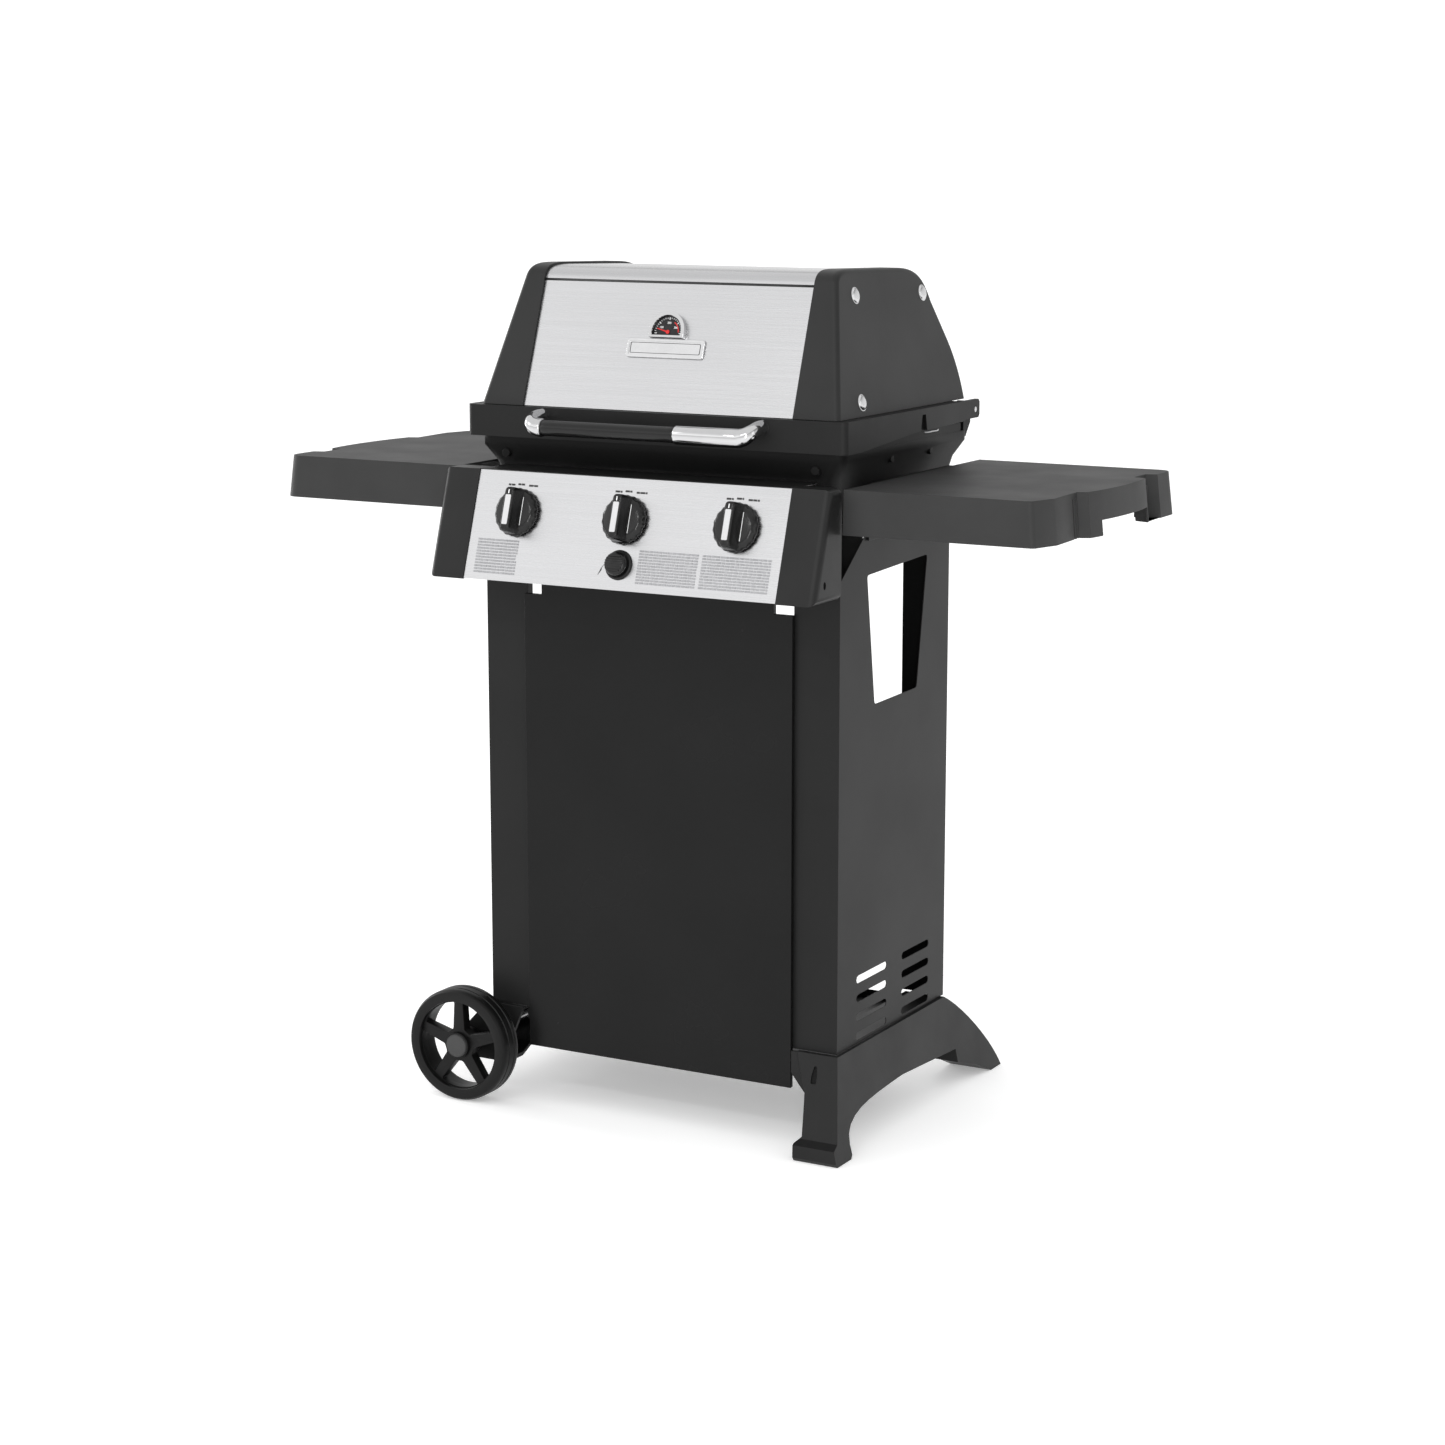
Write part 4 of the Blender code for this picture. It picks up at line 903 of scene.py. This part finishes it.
def shelf_ribs(side, inner_x, bottom, top):
    """Ribs under the top, and hook fingers in one notch of the outer end."""
    pieces = []
    for y in SHELF_RIBS:
        rib = rectangle(inner_x + 0.003, y - 0.001, 0.5560, y + 0.001)
        pieces.append(shelf_slab("rib", rib, side, bottom + 0.024, top - SHELF_WALL + 0.001))
    for y in SHELF_FINGERS:
        finger = rounded(rectangle(0.5600, y - 0.0016, 0.5705, y + 0.0016), 0.0012, 4)
        finger = shelf_slab("finger", finger, side, bottom + 0.004, top - 0.014)
        pieces.append(soften(finger, 0.0006))
    return pieces


def shelf(label, side):
    """The moulded shelf with soft edges, its ribs and its fingers."""
    node = "side_shelf_" + label
    top, bottom = high(node).z, low(node).z
    inner_x = x_reach(node)[0]
    pieces = [shelf_tray(node, side, inner_x, bottom, top)]
    pieces += shelf_ribs(side, inner_x, bottom, top)
    dress(finished(merged(node + "_body", pieces)), "cart", "shelf_resin", [node])


# ---------------------------------------------------------------- lid
LEAN = 0.20                  # how much a lid end leans in, for each metre up
LID_WALL = 0.005             # of a lid end


def lid_side_outline(foot, inset=0.0):
    top = bezier((-0.124 + inset, 1.150 - 0.4 * inset), (-0.117 + inset, 1.16545 - inset),
                 (-0.100 + inset, 1.16545 - inset), (-0.070, 1.16495 - inset), 16)
    rear = bezier((0.070, 1.1610 - inset), (0.122, 1.1590 - inset), (0.136, 1.148 - inset),
                  (0.149 - inset, 1.1150 - 0.3 * inset), 16)
    back = bezier((0.182 - inset, 1.0600), (0.196 - inset, 1.035), (0.203 - inset, 1.010),
                  (0.204 - inset, foot), 12)
    return [(-0.184 + inset, foot)] + top + rear + back


def lid_cap(label, side):
    """A hollow cast end that leans in, with its outer edges rounded."""
    node = "lid_cap_" + label
    foot = low(node).z
    inner, outer = x_reach(node)

    def lean(x, y, z):
        return (x - side * LEAN * (z - foot) * (abs(x) > inner + 0.0096), y, z)

    cap = prism(node + "_body", [lid_side_outline(foot)], *span(side, inner, outer), "X")
    reshape(cap, lean)
    round_edges(cap, lambda a, b: min(abs(a.x), abs(b.x)) > inner + 0.0116
                and max(a.z, b.z) > foot + 0.0005, 0.007, 7)
    hollow = lid_side_outline(foot, LID_WALL)
    hollow = [(hollow[0][0], foot - 0.010)] + hollow + [(hollow[-1][0], foot - 0.010)]
    cutter = prism("hollow", [hollow], *span(side, inner - 0.010, outer - LID_WALL), "X")
    combine(cap, reshape(cutter, lean))
    dress(finished(cap), "lid", "cast_black", [node])


def folded_sheet(name, outer, half_x, thickness=0.0012):
    """A sheet across the lid that follows a (y, z) line, thickened inwards."""
    inner = []
    for i, point in enumerate(outer):
        before = Vector(outer[max(i - 1, 0)])
        after = Vector(outer[min(i + 1, len(outer) - 1)])
        along = (after - before).normalized()
        inner.append((point[0] + thickness * along.y, point[1] - thickness * along.x))
    return prism(name, [outer + inner[::-1]], -half_x, half_x, "X")


def lid_sheets():
    """The stainless front with its crease and rolled top, and the painted back."""
    half_x = high("lid_panel").x
    roll = bezier((-0.120, 1.1495), (-0.114, 1.1615), (-0.098, 1.1628), (-0.070, 1.1625), 22)
    crease = [(-0.1226, 1.1422), (-0.1212, 1.1430), (-0.1207, 1.1444), (-0.1214, 1.1456)]
    front = folded_sheet("lid_panel_sheet", [(-0.181, 0.978)] + crease + roll
                         + [(0.060, 1.1585)], half_x)
    dress(finished(front, 50), "lid", "stainless", ["lid_panel"])
    # A dark strip in the crease: painted shadow under the rolled top.
    shadow = [(-0.1224, 1.1424), (-0.1213, 1.1430), (-0.1208, 1.1444), (-0.1216, 1.1453)]
    dress(prism("lid_crease_shadow", [shadow], -half_x, half_x, "X"), "lid", "stainless",
          look=DARK_INK_AND_SHADE)
    slope = bezier((0.0605, 1.1582), (0.112, 1.1550), (0.129, 1.138), (0.145, 1.1135), 18)
    foot = bezier((0.179, 1.0590), (0.193, 1.035), (0.2005, 1.010), (0.2010, 0.9865), 12)
    back = folded_sheet("lid_back_sheet", slope + foot, half_x)
    dress(finished(back, 50), "lid", "cast_black", ["lid_back"])


def lid_bolt(node):
    """A domed bolt head with a rim, in the place and lean of its CAD node."""
    lo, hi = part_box(node)
    middle = (lo + hi) / 2
    side = 1 if middle.x > 0 else -1
    head = turned(node + "_head", [
        (0.0, 0.0045), (0.0030, 0.0044), (0.0060, 0.0040), (0.0085, 0.0030), (0.0096, 0.0020),
        (0.0100, 0.0013), (0.0110, 0.0011), (0.0110, 0.0003), (0.0, 0.0003)], 48)
    turn = Matrix.Rotation(side * (pi / 2 - atan2(LEAN, 1.0)), 4, "Y")
    centre = Vector((0.0, 0.0, 0.0024))
    moved(head, Matrix.Translation(middle) @ turn @ Matrix.Translation(-centre))
    dress(head, "lid", "zinc", [node], SATIN_PLATE)


def smoothed(points, steps=6):
    """More points on a smooth curve through the ones given."""
    rows = [Vector(point) for point in points]
    result = []
    for i in range(len(rows) - 1):
        a, b, c, d = (rows[max(i - 1, 0)], rows[i], rows[i + 1], rows[min(i + 2, len(rows) - 1)])
        for k in range(steps):
            t = k / steps
            result.append(0.5 * (2 * b + (c - a) * t + (2 * a - 5 * b + 4 * c - d) * t ** 2
                                 + (3 * b - a - 3 * c + d) * t ** 3))
    return result + [rows[-1]]


def handle_sleeve(label, side, stop, axis_y, axis_z):
    """A chrome elbow out of the band that swells into a sleeve and ends at x = stop."""
    full = 0.0125
    route = [(0.167, -0.1954, 0.966, 0.84), (0.167, -0.198, 0.966, 0.80),
             (0.1675, -0.204, 0.966, 0.76), (0.1675, -0.211, 0.965, 0.76),
             (0.167, -0.218, 0.963, 0.78), (0.165, -0.224, 0.9605, 0.82),
             (0.162, -0.227, 0.958, 0.88), (0.158, -0.228, 0.956, 0.94),
             (0.153, -0.228, 0.9545, 0.98), (0.149, axis_y, axis_z, 1.0)]
    bend = smoothed(route)
    path = [(side * x, y, z) for x, y, z, share in bend]
    radii = [full * share for x, y, z, share in bend]
    for back, radius in ((0.0022, full), (0.0012, 0.0122), (0.0004, 0.0115), (0.0, 0.0106)):
        path.append((stop + side * back, axis_y, axis_z))
        radii.append(radius)
    sleeve = swept("handle_end_%s_sleeve" % label, path, radii, 40)
    dress(shade(sleeve, 50), "lid", "chrome", ["handle_end_" + label])


def handle_grip(start, stop, axis_y, axis_z):
    """A plain black bar with eased rims."""
    steps = 60
    length = stop - start
    path = []
    radii = []
    for i in range(steps + 1):
        t = i / steps
        path.append((start + length * t, axis_y, axis_z))
        edge = min(t, 1 - t) * length
        radii.append(0.0105 - 0.0008 * max(0.0, 1 - edge / 0.0015))
    dress(swept("handle_grip_bar", path, radii, 40), "lid", "black_resin", ["handle_grip"],
          GLOSS_RESIN)


def handle():
    """Chrome elbows that swell into sleeves, and a black grip between them."""
    grip_low, grip_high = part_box("handle_grip")
    axis_y = (grip_low.y + grip_high.y) / 2
    axis_z = (grip_low.z + grip_high.z) / 2
    for label, side in SIDES:
        stop = grip_high.x + 0.0004 if side > 0 else grip_low.x - 0.0004
        handle_sleeve(label, side, stop, axis_y, axis_z)
    handle_grip(grip_low.x, grip_high.x, axis_y, axis_z)


DIAL_TOP = 0.0022            # of the dial above the lid's face


def dial_ticks():
    """Outlines of the ticks, every fifth one longer and thicker."""
    ticks = []
    for i in range(21):
        angle = radians(-5 + 190 * i / 20)
        inner = 0.0168 if i % 5 == 0 else 0.0182
        half = 0.0005 if i % 5 == 0 else 0.00025
        across = Vector((-sin(angle), cos(angle))) * half
        near = Vector((cos(angle), sin(angle))) * inner
        far = Vector((cos(angle), sin(angle))) * 0.0202
        ticks.append([tuple(near - across), tuple(far - across), tuple(far + across),
                      tuple(near + across)])
    return ticks


def dial_print():
    """Ticks, a red zone and three numbers on the dial."""
    marks("thermometer_ticks", dial_ticks(), DIAL_TOP, LID_FACE, "lid", "dial_black", WHITE_INK_AND_HIGHLIGHT)
    hot = arc((0, 0), 0.0162, 0, 60, 14) + arc((0, 0), 0.0148, 60, 0, 14)
    marks("thermometer_hot_zone", [hot], DIAL_TOP, LID_FACE, "lid", "dial_black",
          LOOKS["needle_red"])
    for number, angle in (("100", 150), ("200", 90), ("300", 30)):
        numeral(number, 0.0125, angle)


def thermometer():
    """An arched chrome bezel, a printed black dial and a red needle."""
    rise = 18
    outline = arc((0, 0), 0.0270, -rise, 180 + rise, 60)
    opening = arc((0, 0), 0.0222, 4 - rise, 176 + rise, 60)
    bezel = soften(prism("thermometer_ring", [outline, opening], 0.0003, 0.0075, "Z"),
                   0.0016, 4, 40)
    dress(moved(finished(bezel), LID_FACE), "lid", "chrome", ["thermometer_bezel"])
    dial = prism("thermometer_face", [arc((0, 0), 0.0217, 4 - rise, 176 + rise, 60)], 0.0003,
                 DIAL_TOP, "Z")
    dress(moved(finished(dial), LID_FACE), "lid", "dial_black", ["thermometer_dial"])
    dial_print()
    carry("thermometer_needle", 0.0001)


def numeral(text, radius, angle):
    curve = bpy.data.curves.new("numeral_" + text, "FONT")
    curve.body = text
    curve.size = 0.0040
    curve.extrude = SKIN / 2
    curve.align_x = "CENTER"
    curve.align_y = "CENTER"
    mesh = curve_mesh(curve)
    a = radians(angle)
    spot = Matrix.Translation((radius * cos(a), radius * sin(a), DIAL_TOP + SKIN / 2))
    mesh.transform(LID_FACE @ spot)
    dress(add(mesh, "thermometer_numeral_" + text), "lid", "dial_black", look=WHITE_INK_AND_HIGHLIGHT)


def name_plate():
    """A blank raised plate with a sunk field."""
    foot, head, half_x = -0.0355, -0.0092, 0.059
    outline = rounded(rectangle(-half_x, foot, half_x, head), 0.005, 10)
    plate = prism("name_plate_blank", [outline], 0.0003, 0.0030, "Z")
    soften(plate, 0.0009, 3)
    field = rounded(rectangle(-half_x + 0.004, foot + 0.004, half_x - 0.004, head - 0.004),
                    0.003, 8)
    combine(plate, prism("field", [field], 0.0024, 0.0060, "Z"))
    dress(moved(finished(plate), LID_FACE), "lid", "chrome", ["name_plate"], SATIN_PLATE)
    edge = rounded(rectangle(-half_x + 0.0058, foot + 0.0058, half_x - 0.0058, head - 0.0058),
                   0.002, 6)
    line = [(u * 0.985, (v - (foot + head) / 2) * 0.92 + (foot + head) / 2) for u, v in edge]
    mark = prism("name_plate_line", [edge, line], 0.0024, 0.0024 + SKIN, "Z")
    dress(moved(mark, LID_FACE), "lid", "chrome", look=DARK_INK_AND_SHADE)


def lid_band():
    """The cast band with soft edges, a spit slot in each end and a latch on the right."""
    piece = add(frame["nodes"]["lid_band"].data.copy(), "lid_band_body")
    outer = high("lid_band").x
    top = high("lid_band").z
    slot_view = [(0.0260, 0.9420), (0.0480, 0.9420), (0.0420, top - 0.0080),
                 (0.0320, top - 0.0080)]
    for side in (-1, 1):
        combine(piece, prism("spit_slot", [slot_view], *span(side, outer - 0.0050,
                                                            outer + 0.0100), "X"))
    soften(piece, 0.0014, 3, 40)
    dress(finished(piece), "lid", "cast_black", ["lid_band"], BAND_BLACK)
    path = smoothed([(outer - 0.0010, 0.0400, 0.9455), (outer + 0.0006, 0.0480, 0.9450),
                     (outer + 0.0008, 0.0620, 0.9452), (outer + 0.0008, 0.0760, 0.9450),
                     (outer + 0.0006, 0.0800, 0.9462)])
    dress(swept("spit_latch_wire", path, [0.0009] * len(path), 12), "lid", "zinc")


def lid():
    for label, side in SIDES:
        lid_cap(label, side)
        carry("hinge_pin_" + label, 0.0005)
    lid_sheets()
    for part in ("front", "rear", "top"):
        for label, side in SIDES:
            lid_bolt("lid_bolt_%s_%s" % (part, label))
    handle()
    thermometer()
    name_plate()
    lid_band()


# ---------------------------------------------------------------- cooking parts
TUB_RIM_Z = 0.935            # of the tub below its upstand


def firebox_extras():
    """Fillers at the upstand's rear ends, and round bosses below the rim."""
    rim = Vector((high("firebox").x, 0.0, TUB_RIM_Z))
    pieces = []
    for side in (-1, 1):
        near_x, far_x = span(side, 0.2723, 0.2757)
        upstand = rectangle(near_x, 0.1500, far_x, 0.1800)
        pieces.append(prism("upstand", [upstand], 0.9300, 0.9464, "Z"))
        spot = (side * (rim.x - 0.0400), rim.z - 0.0230)
        pieces.append(soften(cylinder("boss", 0.0060, -0.1795, -0.1700, spot, "Y", 40), 0.001))
        for y in (-0.0300, 0.0900):
            near_x, far_x = span(side, rim.x - 0.0100, rim.x - 0.0015)
            boss = cylinder("boss", 0.0050, near_x, far_x, (y, rim.z - 0.0190), "X", 32)
            pieces.append(soften(boss, 0.0008))
    return pieces


def firebox():
    """The tub with soft edges, its fillers and its bosses, in a darker black that is painted shade under the lid
    band.
    """
    piece = add(frame["nodes"]["firebox"].data.copy(), "firebox_tub")
    soften(piece, 0.0008, 2, 40)
    dress(finished(merged("firebox_tub", [piece] + firebox_extras())), "cart", "cast_black",
          ["firebox"], TUB_SHADE_BLACK)


def burner(name):
    """A burner tube with two rows of flame ports along it, drawn as dark discs of painted shade where the port
    holes are.
    """
    carry("burner_" + name)
    lo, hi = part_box("burner_" + name)
    axis_x = (lo.x + hi.x) / 2
    axis_z = hi.z - 0.0125
    ports = []
    for side in (-1, 1):
        turn = Matrix.Rotation(side * radians(55), 4, "Y")
        for i in range(26):
            place = Matrix.Translation((axis_x, -0.118 + 0.0105 * i, axis_z)) @ turn
            ports.append(moved(cylinder("port", 0.0013, 0.0119, 0.0127, sides=12), place))
    dress(merged("burner_%s_ports" % name, ports), "cart", "burner_steel", look=DARK_INK_AND_SHADE)


# ---------------------------------------------------------------- cart
def keyhole_in(piece):
    """A blind keyhole that follows the foot's sloping front, with a near-black plate of painted shade on its
    floor.
    """
    front, floor, middle_z, slope = -0.2300, -0.1890, 0.1090, 0.351
    keyhole = rounded([(0.2435, 0.0980), (0.2515, 0.0980), (0.2515, 0.1080),
                       (0.2495, 0.1200), (0.2455, 0.1200), (0.2435, 0.1080)], 0.0018, 5)

    def sloped(x, y, z):
        return (x, y + slope * (z - middle_z), z)

    combine(piece, reshape(prism("keyhole", [keyhole], front, floor, "Y"), sloped))
    # A near-black plate on the keyhole's floor: painted shade in the recess.
    plate = prism("base_keyhole_painted_shade", [keyhole], floor - 0.0022, floor - 0.0005, "Y")
    dress(reshape(plate, sloped), "cart", "black_resin", look=KEYHOLE_SHADE)


def base(label):
    """The moulded base with soft edges and, on the foot, a keyhole in its front."""
    node = "base_" + label
    piece = add(frame["nodes"][node].data.copy(), node + "_body")
    if label == "right":
        keyhole_in(piece)
    soften(piece, 0.0014, 3, 38)
    dress(finished(piece), "cart", "black_resin", [node])


def panel_screws():
    """Domed screws down the two rear flanges."""
    rear = high("side_panel_left").y
    heads = []
    for side in (-1, 1):
        for z in (0.180, 0.480, 0.770):
            head = turned("screw", [(0.0, 0.0018), (0.0024, 0.0015), (0.0038, 0.0008),
                                    (0.0042, 0.0), (0.0, 0.0)], 28)
            turn = Matrix.Rotation(-pi / 2, 4, "X")
            heads.append(moved(head, Matrix.Translation((side * 0.245, rear, z)) @ turn))
    dress(merged("rear_flange_screws", heads), "cart", "zinc")


def cart():
    for label, side in SIDES:
        base(label)
        shelf(label, side)
    for end in ("front", "rear"):
        wheel(end)
    panel_screws()


camera()
studio()
cart()
console()
lid()
firebox()
for name in KNOBS:
    burner(name)
carry_the_rest()
